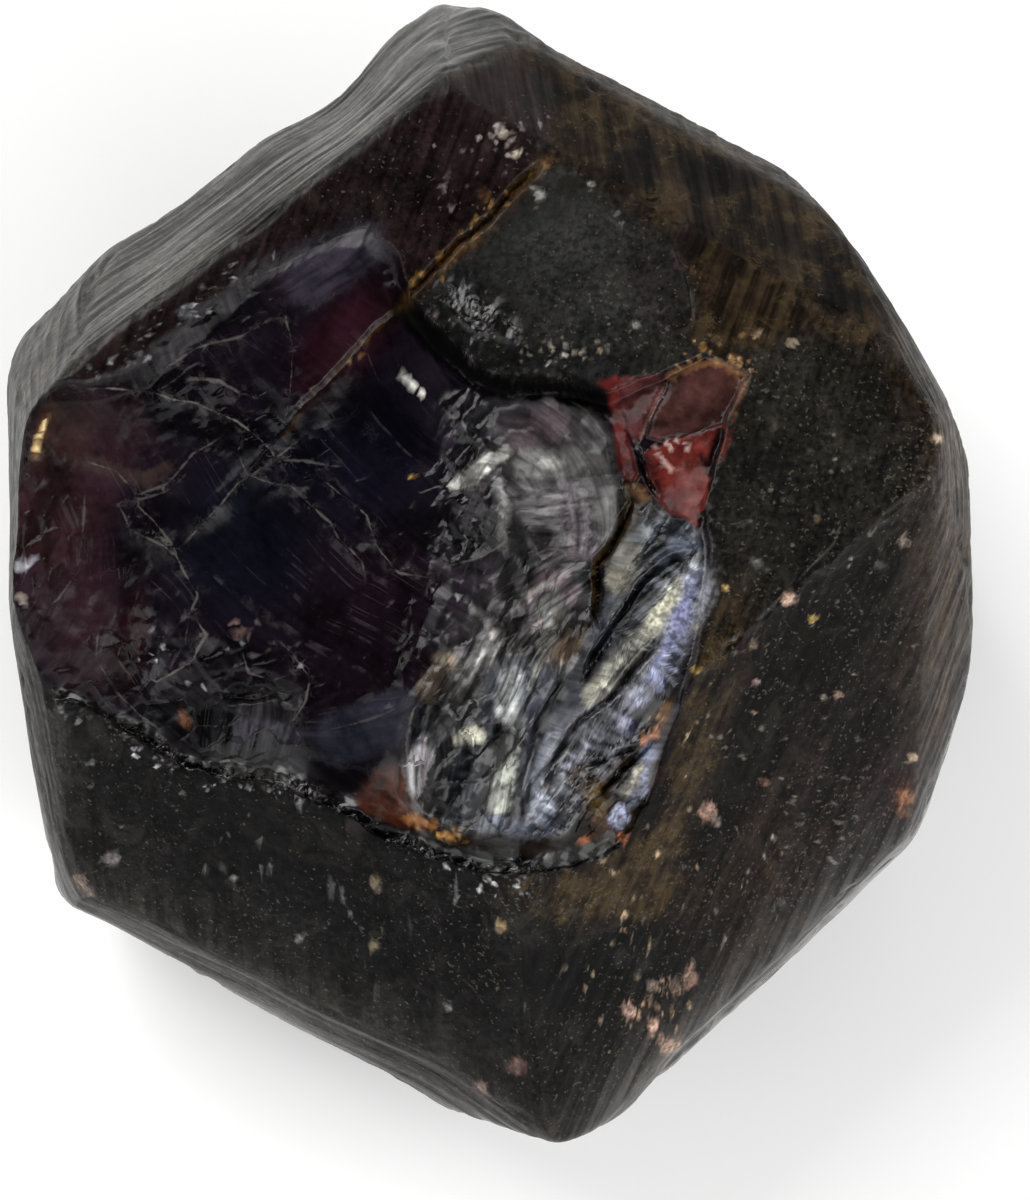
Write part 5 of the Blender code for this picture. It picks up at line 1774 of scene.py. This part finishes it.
def surroundings():
    world = bpy.data.worlds.new("studio")
    bpy.context.scene.world = world
    world.use_nodes = True
    nt = world.node_tree
    bg = nt.nodes["Background"]
    geo = nt.nodes.new("ShaderNodeTexCoord")
    sep = nt.nodes.new("ShaderNodeSeparateXYZ")
    nt.links.new(geo.outputs["Generated"], sep.inputs[0])
    rng = nt.nodes.new("ShaderNodeMapRange")
    rng.interpolation_type = "SMOOTHSTEP"
    rng.inputs["From Min"].default_value = 0.42
    rng.inputs["From Max"].default_value = 0.90
    rng.inputs["To Min"].default_value = WORLD_LOW
    rng.inputs["To Max"].default_value = WORLD_TOP
    nt.links.new(sep.outputs["Z"], rng.inputs["Value"])
    dot = nt.nodes.new("ShaderNodeVectorMath")
    dot.operation = "DOT_PRODUCT"
    dot.inputs[1].default_value = (0.62, -0.78, 0.0)
    nt.links.new(geo.outputs["Generated"], dot.inputs[0])
    side = nt.nodes.new("ShaderNodeMapRange")
    side.interpolation_type = "SMOOTHSTEP"
    for key, value in (("From Min", -0.3), ("From Max", 0.9),
                       ("To Min", 1.0), ("To Max", 1.7)):
        side.inputs[key].default_value = value
    nt.links.new(dot.outputs["Value"], side.inputs["Value"])
    both = nt.nodes.new("ShaderNodeMath")
    both.operation = "MULTIPLY"
    nt.links.new(rng.outputs[0], both.inputs[0])
    nt.links.new(side.outputs[0], both.inputs[1])
    nt.links.new(both.outputs[0], bg.inputs["Strength"])
    bg.inputs["Color"].default_value = (1.0, 1.0, 1.0, 1.0)


def camera():
    cam = bpy.data.cameras.new("camera")
    cam.sensor_width = 36.0
    cam.sensor_fit = "AUTO"
    cam.lens = 420.0
    cam.clip_start = 0.01
    cam.clip_end = 10.0
    ob = bpy.data.objects.new("camera", cam)
    bpy.context.collection.objects.link(ob)
    centre = Vector(tuple(SHIFT * UNIT))
    right = Vector((1, 0, 0)); up = Vector((0, CL, SL))
    sight = Vector((0, -SL, CL))
    aim = centre + right * (25 * UNIT) - up * (25 * UNIT)
    ob.matrix_world = Matrix((
        (right.x, up.x, sight.x, 0), (right.y, up.y, sight.y, 0),
        (right.z, up.z, sight.z, 0), (0, 0, 0, 1)))
    ob.location = aim + sight * (LENS_DISTANCE * UNIT)
    bpy.context.scene.camera = ob


WORLD_LOW, WORLD_TOP = 1.45, 0.05

crystal = main_mesh()
dress(crystal)
crystal.data.materials.clear()
crystal.data.materials.append(garnet_material())
crystal.data.shade_smooth()
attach(crystal, "root")
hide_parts("garnet_crystal")

stage()
surroundings()
soft_box("key", 135, 44, 0.55, (0.40, 0.34), 4.6, (1.0, 0.995, 0.985))
soft_box("side", 200, 30, 0.6, (0.20, 0.15), 2.0, (1.0, 0.965, 0.92))
soft_box("front", -55, 38, 0.6, (0.50, 0.30), 2.4)
camera()

bpy.context.scene.view_settings.view_transform = "Standard"
bpy.context.scene.view_settings.look = "None"
